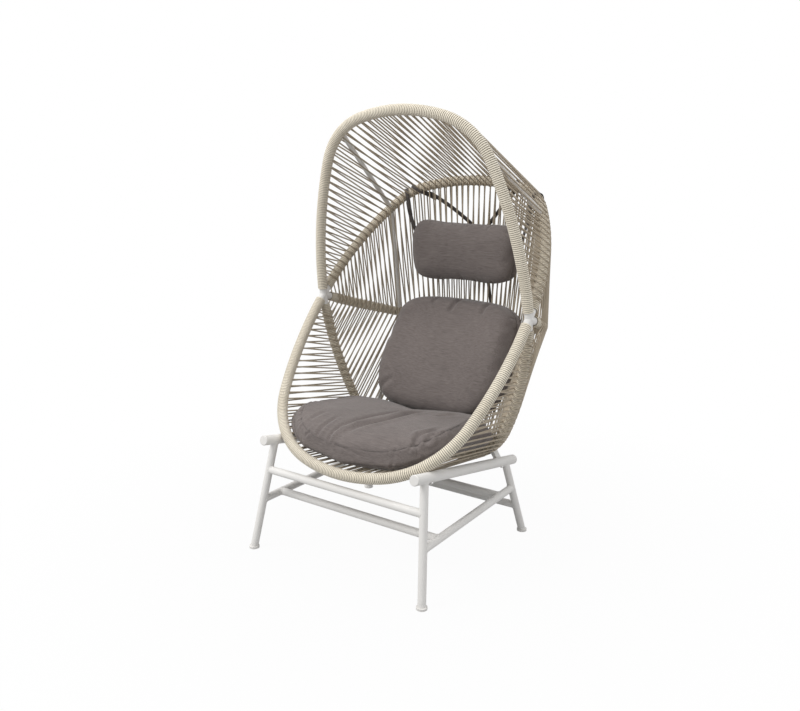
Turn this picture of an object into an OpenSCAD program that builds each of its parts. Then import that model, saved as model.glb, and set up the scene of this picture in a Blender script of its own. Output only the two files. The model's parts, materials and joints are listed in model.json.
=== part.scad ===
// Hooded pod chair: a strung shell of five bent hoops on a sloping tube base,
// with a seat cushion, a back cushion and a headrest that hangs on straps.
// Millimetres. The chair faces -Y, stands on z = 0, and is symmetric about x = 0.

/* [Tubes] */
// Outside diameter of the legs, stretchers and shell hoops
tube_d = 25; // [20:0.5:27]
// Outside diameter of the two side rails that carry the shell
rail_d = 32; // [28:0.5:33]
// Outside diameter of the bare ribs of the shell
rib_d = 16; // [10:0.5:17]
// Wall of the base tubes
tube_wall = 2; // [1.2:0.1:3]
// Wall of the shell hoops and ribs
hoop_wall = 1.8; // [1.2:0.1:3]

/* [Base] */
// Half the distance between the axes of the side rails
rail_half_gauge = 288; // [280:1:292]
// Horizontal length of a side rail, front to back
rail_run = 588; // [560:1:610]
// Height of the rail axis at its front end
rail_front_z = 371; // [362:1:373]
// Height of the rail axis at its rear end
rail_rear_z = 251; // [240:1:258]
// Distance from the rail's front end back to the front leg
front_leg_inset = 49; // [42:1:60]
// Distance from the rail's rear end forward to the rear leg
rear_leg_inset = 54; // [46:1:64]
// How far a foot stands outside its rail
foot_splay = 42; // [20:1:60]
// How far a front foot stands ahead of the top of its leg
front_foot_reach = 73; // [40:1:90]
// How far a rear foot stands behind the top of its leg
rear_foot_reach = 62; // [40:1:80]
// Height of the rail between the front legs
front_rail_z = 262; // [245:1:280]
// Height of the rail between the rear legs
rear_rail_z = 97; // [80:1:115]
// Height of the two side stretchers
stretcher_z = 163; // [150:1:175]
// Distance from a stretcher's end to the cross tube near it
cross_tube_inset = 84; // [60:1:120]

/* [Feet and end caps] */
// Diameter of the flange of a foot glide
glide_d = 33; // [30:0.5:40]
// Height of the flange of a foot glide
glide_h = 7; // [5:0.5:10]
// Height of the collar of a foot glide, up to the cut end of the leg
glide_collar_h = 13; // [9:0.5:18]
// Thickness of the rim of a rail's end cap
cap_h = 5; // [3:0.5:8]
// Rounding of the rim of a rail's end cap
cap_round = 3; // [1:0.25:3]

/* [Shell] */
// Half the distance between the two hubs where the hoops meet
hub_half_w = 403; // [396:1:408]
// Distance of the hubs behind the middle of the side rails
hub_y = 144; // [140:1:150]
// Free play between the cord wraps where they start round a hub
hub_play = 1.5; // [0.5:0.25:4]
// How far the hub's ball stands out of its tubes
hub_proud = 1.2; // [0.8:0.1:3]
// Gap where two bent lengths of a hoop butt against each other
butt_gap = 0.1; // [0.05:0.05:0.3]

/* [Hood hoop] */
// Angle of the hoop's plane, from level behind the hubs
hood_tilt = 99.6; // [97:0.1:102]
// Lean of its ends away from the middle
hood_splay = -1.9; // [-4:0.1:0]
// Radius of its long sides
hood_side_r = 1380; // [1300:5:1460]
// Angle that a long side sweeps
hood_side_sweep = 19.9; // [18:0.1:22]
// Radius of its shoulders
hood_shoulder_r = 226; // [210:1:240]
// Angle that a shoulder sweeps
hood_shoulder_sweep = 52.2; // [49:0.1:55]

/* [Arch hoop] */
// Angle of the hoop's plane, from level behind the hubs
arch_tilt = 46.7; // [44:0.1:49]
// Lean of its ends away from the middle
arch_splay = 0.1; // [-2:0.1:2]
// Radius of its long sides
arch_side_r = 861; // [820:5:900]
// Angle that a long side sweeps
arch_side_sweep = 29.7; // [27:0.1:32]
// Radius of its shoulders
arch_shoulder_r = 188; // [175:1:200]
// Angle that a shoulder sweeps
arch_shoulder_sweep = 44.7; // [42:0.1:46]

/* [Belt hoop] */
// Angle of the hoop's plane, from level behind the hubs
belt_tilt = -18; // [-20:0.1:-16]
// Lean of its ends away from the middle
belt_splay = 2.6; // [1:0.1:4]
// Radius of its long sides
belt_side_r = 377; // [365:1:390]
// Angle that a long side sweeps
belt_side_sweep = 20.2; // [18:0.1:23]
// Radius of its shoulders
belt_shoulder_r = 359; // [345:1:370]
// Angle that a shoulder sweeps
belt_shoulder_sweep = 48.6; // [45:0.1:52]

/* [Rear hoop] */
// Angle of the hoop's plane, from level behind the hubs
rear_tilt = -81.6; // [-83:0.1:-80]
// Lean of its ends away from the middle
rear_splay = -2.5; // [-4:0.1:-1]
// Radius of its long sides
rear_side_r = 1014; // [980:5:1050]
// Angle that a long side sweeps
rear_side_sweep = 23; // [21:0.1:25]
// Radius of its shoulders
rear_shoulder_r = 207; // [195:1:215]
// Angle that a shoulder sweeps
rear_shoulder_sweep = 48.6; // [46:0.1:51]

/* [Front hoop] */
// Angle of the hoop's plane, from level behind the hubs
front_tilt = -132.8; // [-134:0.1:-132]
// Lean of its ends away from the middle
front_splay = 1.8; // [0:0.1:3]
// Radius of its long sides
front_side_r = 1293; // [1240:5:1340]
// Angle that a long side sweeps
front_side_sweep = 17.2; // [15:0.1:19]
// Radius of its shoulders
front_shoulder_r = 304; // [295:1:315]
// Angle that a shoulder sweeps
front_shoulder_sweep = 58.7; // [56:0.1:61]

/* [Cord] */
// Diameter of the round cord
cord_d = 4; // [3:0.1:4.6]
// Free play between a panel cord and the wrap that it lies against
cord_play = 0.5; // [0.4:0.05:0.8]
// Distance between neighbouring points of the zigzag, measured on the longer hoop
cord_pitch = 25; // [24:0.5:40]
// Bare length of wrap between a hub and the first cord of a panel
cord_start = 62; // [56:1:90]
// Clearance between a hoop and the cord wound round it
wrap_play = 0.1; // [0.05:0.05:0.2]
// Free play between the end of a rib and the wrap that it meets
rib_play = 0.8; // [0.7:0.05:0.95]

/* [Rib route] */
// Distance of a rib from the middle at the hood hoop
rib_hood_x = 235; // [225:1:245]
// Distance of a rib from the middle at the arch hoop
rib_arch_x = 305; // [295:1:315]
// Distance of a rib from the middle at the belt hoop
rib_belt_x = 270; // [260:1:280]
// Distance of a rib from the middle at the rear hoop
rib_rear_x = 238; // [228:1:248]

/* [Brackets] */
// Length of a shell bracket along its rail
bracket_l = 30; // [24:1:40]
// Thickness of a shell bracket
bracket_t = 12; // [10:0.5:16]
// Diameter of the bolt under a shell bracket
bolt_d = 6; // [5:0.5:8]
// Diameter of the bolt's round head
bolt_head_d = 11; // [9:0.5:13]
// Height of the bolt's round head
bolt_head_h = 3.5; // [3:0.25:5]
// Play round a bolt in its hole, and between a bracket and what it seats on
bolt_play = 0.2; // [0.1:0.05:0.4]

/* [Seat cushion] */
// Free play between a cushion or strap and what it lies on
soft_play = 0.6; // [0.5:0.05:0.9]
// Height of the seat cushion's border
seat_border_h = 66; // [50:1:80]
// Height of the crown of the seat cushion above its border
seat_crown_h = 46; // [25:1:60]

/* [Back cushion] */
// Length of the back cushion below the belt
back_drop = 385; // [350:5:400]
// Length of the back cushion above the belt
back_rise = 92; // [80:1:120]
// Height of the back cushion's border
back_border_h = 74; // [55:1:85]
// Height of the crown of the back cushion above its border
back_crown_h = 36; // [20:1:50]
// Half the length over which the back cushion bends round the belt
back_bend = 80; // [70:1:100]

/* [Headrest] */
// Half the height of the headrest
headrest_half_h = 98; // [85:1:105]
// Height of the headrest's middle above the belt
headrest_up = 272; // [262:1:300]
// Thickness of the headrest at its rounded edge
headrest_edge_h = 52; // [40:1:60]
// Height of the crown of the headrest above its edge
headrest_crown_h = 38; // [25:1:50]

/* [Straps] */
// Width of the webbing straps
strap_w = 14; // [8:1:20]
// Thickness of the webbing straps
strap_t = 1.6; // [1:0.1:2.5]

/* [Hidden] */

metal = [0.80, 0.79, 0.77];
cord_colour = [0.76, 0.72, 0.64];
cloth = [0.50, 0.47, 0.44];
webbing = [0.16, 0.14, 0.12];
left = -1;
right = 1;
smooth = 64;
sweep_smooth = 128;

cut = tube_d;
rail_r = rail_d / 2;
tube_r = tube_d / 2;
wrap_inner_r = tube_r + wrap_play;
wrap_r = wrap_inner_r + cord_d;
cord_offset = wrap_r + cord_play + cord_d / 2;

// Each hoop: plane angle, lean of its ends, then radius and sweep of side and shoulder
HOOD = [hood_tilt, hood_splay, hood_side_r, hood_side_sweep, hood_shoulder_r, hood_shoulder_sweep];
ARCH = [arch_tilt, arch_splay, arch_side_r, arch_side_sweep, arch_shoulder_r, arch_shoulder_sweep];
BELT = [belt_tilt, belt_splay, belt_side_r, belt_side_sweep, belt_shoulder_r, belt_shoulder_sweep];
REAR = [rear_tilt, rear_splay, rear_side_r, rear_side_sweep, rear_shoulder_r, rear_shoulder_sweep];
FRONT = [front_tilt, front_splay, front_side_r, front_side_sweep,
         front_shoulder_r, front_shoulder_sweep];

// The three arcs of a half hoop in its plane, from the hub to the crown:
// [radius, centre x, centre y, start angle, end angle]
function arcs(h) =
    let (
        a0 = -h[1],
        a1 = a0 + h[3],
        a2 = a1 + h[5],
        x1 = hub_half_w - h[2] * (cos(a0) - cos(a1)),
        y1 = h[2] * (sin(a1) - sin(a0)),
        x2 = x1 - h[4] * (cos(a1) - cos(a2)),
        y2 = y1 + h[4] * (sin(a2) - sin(a1)),
        crown_r = x2 / cos(a2)
    )
    [
        [h[2], hub_half_w - h[2] * cos(a0), -h[2] * sin(a0), a0, a1],
        [h[4], x1 - h[4] * cos(a1), y1 - h[4] * sin(a1), a1, a2],
        [crown_r, 0, y2 - crown_r * sin(a2), a2, 90]
    ];

// The wraps start where the two hoops with the narrowest angle between them leave room
narrowest = min(hood_tilt - arch_tilt, arch_tilt - belt_tilt, belt_tilt - rear_tilt,
    rear_tilt - front_tilt);
hub_bare = wrap_r / tan(narrowest / 2) + hub_play;

function arc_length(a) = a[0] * (a[4] - a[3]) * PI / 180;
function half_length(h) = let (c = arcs(h)) arc_length(c[0]) + arc_length(c[1]) + arc_length(c[2]);
function hoop_length(h) = 2 * half_length(h);
function rise(h) = let (c = arcs(h)[2]) c[2] + c[0];

// A point of an arc at a length along it: [x, y, heading angle]
function on_arc(a, s) =
    let (t = a[3] + s / a[0] * 180 / PI)
    [a[1] + a[0] * cos(t), a[2] + a[0] * sin(t), t];

function on_half(c, s) =
    s < arc_length(c[0]) ? on_arc(c[0], s)
    : s < arc_length(c[0]) + arc_length(c[1]) ? on_arc(c[1], s - arc_length(c[0]))
    : on_arc(c[2], s - arc_length(c[0]) - arc_length(c[1]));

function in_space(h, x, y) = [x, y * cos(h[0]), y * sin(h[0])];

// Centre line of a hoop, by length from the right hub over to the left hub
function from_hub(h, s) =
    let (half = half_length(h), q = on_half(arcs(h), s <= half ? s : 2 * half - s))
    in_space(h, s <= half ? q[0] : -q[0], q[1]);
function hoop_point(h, s) = hub + from_hub(h, s);
function hoop_heading(h, s) =
    let (half = half_length(h), q = on_half(arcs(h), s <= half ? s : 2 * half - s))
    in_space(h, -sin(q[2]), s <= half ? cos(q[2]) : -cos(q[2]));

// Length along a hoop at which its centre line is x from the middle, found by halving
function length_at(h, x, low, high, n = 24) =
    let (mid = (low + high) / 2)
    n == 0 ? mid
    : hoop_point(h, mid).x > x ? length_at(h, x, mid, high, n - 1)
    : length_at(h, x, low, mid, n - 1);
function hoop_at(h, x) = hoop_point(h, length_at(h, x, 0, half_length(h)));

// The side rails slope down to the rear
function rail_height(y) = rail_front_z + (rail_rear_z - rail_front_z) * (y / rail_run + 1 / 2);
function rail_end(side, y) = [side * rail_half_gauge, y, rail_height(y)];
rail_front_y = -rail_run / 2;
rail_rear_y = rail_run / 2;
rail_way = unit(rail_end(1, rail_rear_y) - rail_end(1, rail_front_y));
function to_rail(p) =
    let (v = p - rail_end(1, rail_front_y))
    v - rail_way * (v * rail_way);

// Length along a hoop at which it comes nearest to the right rail, for a hub at a given place
function nearest(h, at, low, high, n = 40) =
    let (third = (high - low) / 3, a = low + third, b = high - third)
    n == 0 ? (low + high) / 2
    : norm(to_rail(at + from_hub(h, a))) < norm(to_rail(at + from_hub(h, b)))
        ? nearest(h, at, low, b, n - 1)
        : nearest(h, at, a, high, n - 1);
function rail_distance(h, at) = norm(to_rail(at + from_hub(h, nearest(h, at, 0, half_length(h)))));

// The shell settles until its front hoop rests on the rails
function settle(z, n) =
    n == 0 ? z
    : settle(z + rail_r + wrap_r + bolt_play - rail_distance(FRONT, [0, hub_y, z]), n - 1);
hub_z = settle(rail_front_z + hub_half_w, 12);
hub = [0, hub_y, hub_z];

// The whole chair is moved so that its box is centred on the origin
front_edge = -rail_run / 2 + front_leg_inset - front_foot_reach - glide_d / 2;
rear_edge = hub_y + max(rise(ARCH) * cos(arch_tilt), rise(BELT) * cos(belt_tilt))
    + cord_offset + cord_d / 2 + soft_play + strap_t;
shift_y = -(front_edge + rear_edge) / 2;

function unit(v) = v / norm(v);

// A tube of its own length along the line from one point to another
module rod(from, to, d) {
    v = to - from;
    translate(from)
        rotate([0, acos(v.z / norm(v)), atan2(v.y, v.x)])
            cylinder(h = norm(v), d = d, $fn = smooth);
}

module pipe(from, to, d, wall) {
    v = unit(to - from);
    difference() {
        rod(from, to, d);
        rod(from - cut * v, to + cut * v, d - 2 * wall);
    }
}

module placed() {
    translate([0, shift_y, 0]) children();
}

// What stands on a rail: its place and the direction from the rail to the hoop above it
function hoop_spot(h) = hub + from_hub(h, nearest(h, hub, 0, half_length(h)));
function hoop_run(h) = hoop_heading(h, nearest(h, hub, 0, half_length(h)));
function rail_spot(h) = hoop_spot(h) - to_rail(hoop_spot(h));

module both(side) {
    mirror([side < 0 ? 1 : 0, 0, 0]) children();
}

module from_left(side) {
    mirror([side > 0 ? 1 : 0, 0, 0]) children();
}

module bolt_hole(h) {
    up = unit(to_rail(hoop_spot(h)));
    rod(rail_spot(h) - rail_d * up, hoop_spot(h), bolt_d + 2 * bolt_play);
}

module side_rail(side) {
    color(metal) placed() both(side)
        difference() {
            pipe(rail_end(right, rail_front_y), rail_end(right, rail_rear_y), rail_d, tube_wall);
            bolt_hole(FRONT);
            bolt_hole(REAR);
        }
}

// A bracket fills the space between a rail and the rear hoop
module shell_bracket(side) {
    low = rail_spot(REAR);
    up = unit(hoop_spot(REAR) - low);
    color(metal) placed() both(side)
        difference() {
            translate(low)
                multmatrix([for (r = [0 : 2]) [rail_way[r], cross(up, rail_way)[r], up[r], 0]])
                    translate([-bracket_l / 2, -bracket_t / 2, 0])
                        cube([bracket_l, bracket_t, norm(hoop_spot(REAR) - low)]);
            rod(rail_end(right, rail_front_y), rail_end(right, rail_rear_y), rail_d + 2 * bolt_play);
            rod(hoop_spot(REAR) - bracket_l * hoop_run(REAR), hoop_spot(REAR) + bracket_l * hoop_run(REAR),
                2 * (wrap_r + bolt_play));
            bolt_hole(REAR);
        }
}

// A bolt's head lies under its rail, and its end stops in the hoop or the bracket
module shell_bolt(h, reach) {
    low = rail_spot(h);
    up = unit(to_rail(hoop_spot(h)));
    rod(low - (rail_r + bolt_head_h) * up, low - rail_r * up, bolt_head_d);
    rod(low - (rail_r + bolt_head_h / 2) * up, low + reach * up, bolt_d);
}

module shell_bolts() {
    color(metal) placed()
        for (side = [left, right]) both(side) {
            shell_bolt(FRONT, rail_r);
            shell_bolt(REAR, norm(to_rail(hoop_spot(REAR))) - wrap_r - bolt_play);
        }
}

module end_cap() {
    rotate_extrude($fn = smooth) {
        square([rail_r, cap_h - cap_round]);
        translate([0, cap_h - cap_round]) square([rail_r - cap_round, cap_round]);
        intersection() {
            translate([rail_r - cap_round, cap_h - cap_round]) circle(r = cap_round, $fn = smooth);
            translate([0, cap_h - cap_round]) square([rail_r, cap_round]);
        }
    }
}

rail_slope = atan((rail_rear_z - rail_front_z) / rail_run);

module rail_end_caps() {
    color(metal) placed()
        for (side = [left, right]) {
            translate(rail_end(side, rail_rear_y)) rotate([rail_slope - 90, 0, 0]) end_cap();
            translate(rail_end(side, rail_front_y)) rotate([rail_slope + 90, 0, 0]) end_cap();
        }
}

// Legs: the axis runs from the foot to the axis of the rail
function leg_top(side, end) =
    let (y = end < 0 ? rail_front_y + front_leg_inset : rail_rear_y - rear_leg_inset)
    rail_end(side, y);
function leg_foot(side, end) =
    let (top = leg_top(side, end))
    [top.x + side * foot_splay, top.y + (end < 0 ? -front_foot_reach : rear_foot_reach), 0];
function on_leg(side, end, z) =
    let (a = leg_foot(side, end), b = leg_top(side, end))
    a + (b - a) * (z / b.z);

front = -1;
rear = 1;
glide_total_h = glide_h + glide_collar_h;

module rail_solid(side, play) {
    rod(rail_end(side, rail_front_y - cut), rail_end(side, rail_rear_y + cut), rail_d + 2 * play);
}

module leg(side, end) {
    color(metal) placed() from_left(side)
        difference() {
            pipe(on_leg(left, end, glide_total_h), leg_top(left, end), tube_d, tube_wall);
            rail_solid(left, 0);
        }
}

module foot_glide(end) {
    foot = on_leg(left, end, glide_h / 2);
    translate([foot.x, foot.y, 0]) cylinder(h = glide_h, d = glide_d, $fn = smooth);
    rod(on_leg(left, end, glide_total_h), on_leg(left, end, glide_h / 2), tube_d);
}

module foot_glides() {
    color(metal) placed()
        for (side = [left, right], end = [front, rear]) from_left(side) foot_glide(end);
}

// A stretcher runs from leg to leg and is cut to fit round both
module between_legs(side_a, end_a, side_b, end_b, z) {
    difference() {
        pipe(on_leg(side_a, end_a, z), on_leg(side_b, end_b, z), tube_d, tube_wall);
        rod(leg_foot(side_a, end_a), leg_top(side_a, end_a), tube_d);
        rod(leg_foot(side_b, end_b), leg_top(side_b, end_b), tube_d);
    }
}

module front_rail() {
    color(metal) placed() between_legs(left, front, right, front, front_rail_z);
}

module rear_rail() {
    color(metal) placed() between_legs(left, rear, right, rear, rear_rail_z);
}

module side_stretcher(side) {
    color(metal) placed() between_legs(side, front, side, rear, stretcher_z);
}

function on_stretcher(side, end) =
    let (a = on_leg(side, end, stretcher_z), b = on_leg(side, -end, stretcher_z))
    a + cross_tube_inset * unit(b - a);

module cross_tube(end) {
    color(metal) placed()
        difference() {
            pipe(on_stretcher(left, end), on_stretcher(right, end), tube_d, tube_wall);
            for (side = [left, right])
                rod(on_leg(side, front, stretcher_z), on_leg(side, rear, stretcher_z), tube_d);
        }
}

// A ring section swept along a hoop, from hub to hub but for the bare lengths
module swept(h, outer, inner) {
    c = arcs(h);
    skip = (hub_bare + butt_gap) / c[0][0] * 180 / PI;
    translate(hub) rotate([h[0], 0, 0]) {
        sweep_arc(c[2], c[2][3], 180 - 2 * c[2][3], outer, inner);
        for (flip = [0, 1]) mirror([flip, 0, 0]) {
            sweep_arc(c[1], c[1][3] + slit(c[1]), c[1][4] - c[1][3] - 2 * slit(c[1]), outer, inner);
            sweep_arc(c[0], c[0][3] + skip, c[0][4] - c[0][3] - skip, outer, inner);
        }
    }
}

function slit(a) = butt_gap / a[0] * 180 / PI;

module sweep_arc(a, start, sweep, outer, inner) {
    translate([a[1], a[2], 0]) rotate(start)
        rotate_extrude(angle = sweep, $fn = sweep_smooth)
            translate([a[0], 0]) difference() {
                circle(r = outer, $fn = smooth);
                if (inner > 0) circle(r = inner, $fn = smooth);
            }
}

module hoop(h) {
    color(metal) placed() swept(h, tube_r, tube_r - hoop_wall);
}

module wrap(h) {
    color(cord_colour) placed() swept(h, wrap_r, wrap_inner_r);
}

// A hub joins the ends of the five hoops
module stub(h) {
    c = arcs(h);
    translate(hub) rotate([h[0], 0, 0])
        sweep_arc(c[0], c[0][3], hub_bare / c[0][0] * 180 / PI, tube_r, 0);
}

module hub_joint(side) {
    color(metal) placed() mirror([side < 0 ? 1 : 0, 0, 0]) {
        translate(hub + [hub_half_w, 0, 0]) sphere(r = tube_r + hub_proud, $fn = smooth);
        stub(HOOD);
        stub(FRONT);
        stub(ARCH);
        stub(BELT);
        stub(REAR);
    }
}

// A panel is one cord that zigzags between two hoops, over and under both
// All panels have the same number of turns, so that the cords of two panels that
// share a hoop lie side by side on it
turns = floor((max(hoop_length(HOOD), hoop_length(FRONT)) - 2 * cord_start) / cord_pitch);

function to_right(p) = [abs(p.x), p.y, p.z];
function held(v) = min(max(v, 0), 1);
function from_line(p, d) = norm(p + held(-(p * d) / (d * d)) * d);
// True where a cord on the outer face would run into a rail or a bracket: it is left out
function blocked(p, q) =
    let (
        a = to_right(p),
        d = to_right(q) - a,
        seat = hoop_spot(REAR) - (wrap_r + cord_d) * unit(to_rail(hoop_spot(REAR)))
    )
    from_line(to_rail(a), d - rail_way * (d * rail_way)) < rail_r + cord_d / 2 + bolt_play
    || from_line(a - seat, d) < bracket_l / 2 + cord_d;

module panel(a, b) {
    for (k = [0 : 2 * turns - 1]) {
        on_a = along(a, ceil(k / 2) / turns);
        on_b = along(b, (floor(k / 2) + 1 / 2) / turns);
        face = k % 2 == 0 ? 1 : -1;
        from = hoop_point(a, on_a);
        to = hoop_point(b, on_b);
        lift_a = unit(cross(hoop_heading(a, on_a), to - from)) * face;
        lift_b = unit(cross(hoop_heading(b, on_b), to - from)) * face;
        start = from + cord_offset * lift_a;
        finish = to + cord_offset * lift_b;
        if (!blocked(start, finish)) rod(start, finish, cord_d);
    }
}
function along(h, share) = cord_start + share * (hoop_length(h) - 2 * cord_start);

module cords(a, b) {
    color(cord_colour) placed() panel(a, b);
}

// A rib is a bare tube between two hoops, cut to fit against their wraps
module rib(side, a, x_a, b, x_b) {
    s_a = length_at(a, x_a, 0, half_length(a));
    s_b = length_at(b, x_b, 0, half_length(b));
    from = hoop_point(a, s_a);
    to = hoop_point(b, s_b);
    color(metal) placed() both(side)
        difference() {
            pipe(from, to, rib_d, hoop_wall);
            rod(from - tube_d * hoop_heading(a, s_a), from + tube_d * hoop_heading(a, s_a),
                2 * (wrap_r + rib_play));
            rod(to - tube_d * hoop_heading(b, s_b), to + tube_d * hoop_heading(b, s_b),
                2 * (wrap_r + rib_play));
        }
}

// The inner face of a panel, by share across, share from one hoop to the next, and lift
function square_to(h, s, d) = unit(cross(hoop_heading(h, s), d));
function on_panel(a, b, across, down, lift) =
    let (
        s_a = along(a, across),
        s_b = along(b, across),
        p = hoop_point(a, s_a),
        q = hoop_point(b, s_b),
        p2 = p + lift * square_to(a, s_a, q - p),
        q2 = q + lift * square_to(b, s_b, q - p)
    )
    p2 + down * (q2 - p2);
panel_face = cord_offset + cord_d / 2 + soft_play;
middle = 1 / 2;
function panel_drop(a, b) = norm(rise_of(b) - rise_of(a));
function rise_of(h) = in_space(h, 0, rise(h));

// A cushion is a stack of rings, each with its spread and its height over border and crown
cushion_sides = 44;
seat_corner_share = 0.42;
back_corner_share = 0.50;
headrest_corner_share = 0.48;
full = 1;
CUSHION_RINGS = [
    [0.30, 0, 0], [0.60, 0, 0], [0.82, 0, 0], [0.93, 0, 0], [0.975, 0.06, 0], [1, 0.22, 0],
    [0.99, 0.5, 0], [1, 0.8, 0], [0.975, 0.96, 0.03], [0.93, 1, 0.16], [0.82, 1, 0.42],
    [0.62, 1, 0.74], [0.32, 1, 0.94]
];
function spread(v, corner) = sign(v) * pow(abs(v), corner);

module cushion(points, turned = false) {
    rings = len(CUSHION_RINGS);
    n = cushion_sides;
    faces = [
        for (j = [0 : n - 1]) [rings * n, j, (j + 1) % n],
        for (i = [0 : rings - 2], j = [0 : n - 1], half = [0, 1])
            half == 0 ? [i * n + j, (i + 1) * n + j, (i + 1) * n + (j + 1) % n]
            : [i * n + j, (i + 1) * n + (j + 1) % n, i * n + (j + 1) % n],
        for (j = [0 : n - 1]) [rings * n + 1, (rings - 1) * n + (j + 1) % n, (rings - 1) * n + j]
    ];
    polyhedron(points, [for (f = faces) turned ? [f[0], f[2], f[1]] : f]);
}

// Seat cushion: lies in the bowl of the seat cords
seat_across_share = 0.240;
seat_rear_share = 0.045;
seat_front_share = 0.965;
seat_wedge_share = 0.6;
seat_side_share = 0.32;
function seat_border(u, v) =
    seat_border_h * (1 + seat_wedge_share * (1 - v) / 2) * (1 - seat_side_share * u * u);
function seat_point(u, v, h) =
    on_panel(REAR, FRONT, middle - seat_across_share * u,
        (seat_rear_share + seat_front_share) / 2 + (seat_front_share - seat_rear_share) / 2 * v,
        panel_face + h);

module seat_cushion() {
    color(cloth) placed() cushion([
        for (ring = CUSHION_RINGS, j = [0 : cushion_sides - 1])
            let (
                a = 360 * j / cushion_sides,
                u = ring[0] * spread(cos(a), seat_corner_share),
                v = ring[0] * spread(sin(a), seat_corner_share)
            )
            seat_point(u, v, ring[1] * seat_border(u, v) + ring[2] * seat_crown_h),
        seat_point(0, 0, 0),
        seat_point(0, 0, seat_border(0, 0) + seat_crown_h)
    ], true);
}

// Back cushion: leans on the lumbar cords below the belt and on the back cords above it
back_across_share = 0.268;
back_taper_share = 0.12;
function back_leg(across, q, lift) =
    q < 0 ? on_panel(BELT, REAR, across, -q / panel_drop(BELT, REAR), lift)
    : on_panel(ARCH, BELT, across, 1 - q / panel_drop(ARCH, BELT), lift);
function corner_of(across, lift) =
    let (
        s = along(BELT, across),
        p = hoop_point(BELT, s),
        low = square_to(BELT, s, hoop_point(REAR, along(REAR, across)) - p),
        high = square_to(BELT, s, p - hoop_point(ARCH, along(ARCH, across)))
    )
    p + lift * (low + high) / (1 + low * high);
function bend_point(across, q, lift) =
    let (
        w = (q + back_bend) / (2 * back_bend),
        a = back_leg(across, -back_bend, lift),
        k = corner_of(across, lift),
        b = back_leg(across, back_bend, lift)
    )
    (1 - w) * (1 - w) * a + 2 * w * (1 - w) * k + w * w * b;
function back_point(u, v, h) =
    let (
        q = (back_rise - back_drop) / 2 + (back_rise + back_drop) / 2 * v,
        share = back_across_share * (1 - back_taper_share * (1 - v) / 2),
        across = middle - share * u
    )
    abs(q) < back_bend ? bend_point(across, q, panel_face + h) : back_leg(across, q, panel_face + h);

module back_cushion() {
    color(cloth) placed() cushion([
        for (ring = CUSHION_RINGS, j = [0 : cushion_sides - 1])
            let (a = 360 * j / cushion_sides)
            back_point(ring[0] * spread(cos(a), back_corner_share),
                ring[0] * spread(sin(a), back_corner_share),
                ring[1] * back_border_h + ring[2] * back_crown_h),
        back_point(0, 0, 0),
        back_point(0, 0, back_border_h + back_crown_h)
    ]);
}

// Headrest: hangs in front of the back cords, on its two straps
headrest_across_share = 0.176;
headrest_curl_share = 0.14;
headrest_face = panel_face;
headrest_down = 1 - headrest_up / panel_drop(ARCH, BELT);
function headrest_point(u, v, h) =
    on_panel(ARCH, BELT, middle - headrest_across_share * u,
        headrest_down - headrest_half_h / panel_drop(ARCH, BELT) * v,
        headrest_face + headrest_curl_share * headrest_edge_h * u * u + h);

module headrest() {
    color(cloth) placed() cushion([
        for (ring = CUSHION_RINGS, j = [0 : cushion_sides - 1])
            let (a = 360 * j / cushion_sides)
            headrest_point(ring[0] * spread(cos(a), headrest_corner_share),
                ring[0] * spread(sin(a), headrest_corner_share),
                ring[1] * headrest_edge_h + ring[2] * headrest_crown_h),
        headrest_point(0, 0, 0),
        headrest_point(0, 0, headrest_edge_h + headrest_crown_h)
    ]);
}

// A strap lies on one face of the back cords, between two places given as [across, down]
strap_steps = 14;
module strap(from, to, face) {
    way = to - from;
    wide = strap_w / panel_drop(ARCH, BELT) / 2;
    long = hoop_length(ARCH) - 2 * cord_start;
    tilt = unit([way[0] * long, way[1] * panel_drop(ARCH, BELT)]);
    edge = [tilt[1] * strap_w / long / 2, -tilt[0] * wide];
    near = face * panel_face;
    far = face * (panel_face + strap_t);
    points = [
        for (i = [0 : strap_steps])
            let (mid = from + way * i / strap_steps, a = mid - edge, b = mid + edge)
            each [
                on_panel(ARCH, BELT, a[0], a[1], near),
                on_panel(ARCH, BELT, b[0], b[1], near),
                on_panel(ARCH, BELT, b[0], b[1], far),
                on_panel(ARCH, BELT, a[0], a[1], far)
            ]
    ];
    last = 4 * strap_steps;
    faces = [
        [0, 1, 2], [0, 2, 3], [last, last + 2, last + 1], [last, last + 3, last + 2],
        for (i = [0 : strap_steps - 1], k = [0 : 3], half = [0, 1])
            let (m = 4 * i, j = (k + 1) % 4)
            half == 0 ? [m + k, m + 4 + k, m + 4 + j] : [m + k, m + 4 + j, m + j]
    ];
    polyhedron(points, [for (f = faces) face * tilt[1] < 0 ? f : [f[0], f[2], f[1]]]);
}

// Places of the straps' ends, as shares across and down the back cords
hang_top = [0.307, 0.05];
hang_end = [0.326, 0.40];
stay_top_right = [0.404, 0.06];
stay_top_left = [0.653, 0.06];
stay_meet = [0.490, 0.366];
stay_end = [0.447, 0.92];
stay_join_share = 0.15;
stay_join = stay_meet + stay_join_share * (stay_top_right - stay_meet);

module headrest_strap(side) {
    color(webbing) placed() both(side) strap(hang_top, hang_end, 1);
}

module stay_strap(side) {
    color(webbing) placed()
        strap(side < 0 ? stay_top_left : stay_top_right, side < 0 ? stay_meet : stay_join, -1);
}

module stay_strap_tail() {
    color(webbing) placed() strap(stay_meet + [0, strap_w / panel_drop(ARCH, BELT)], stay_end, -1);
}

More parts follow.
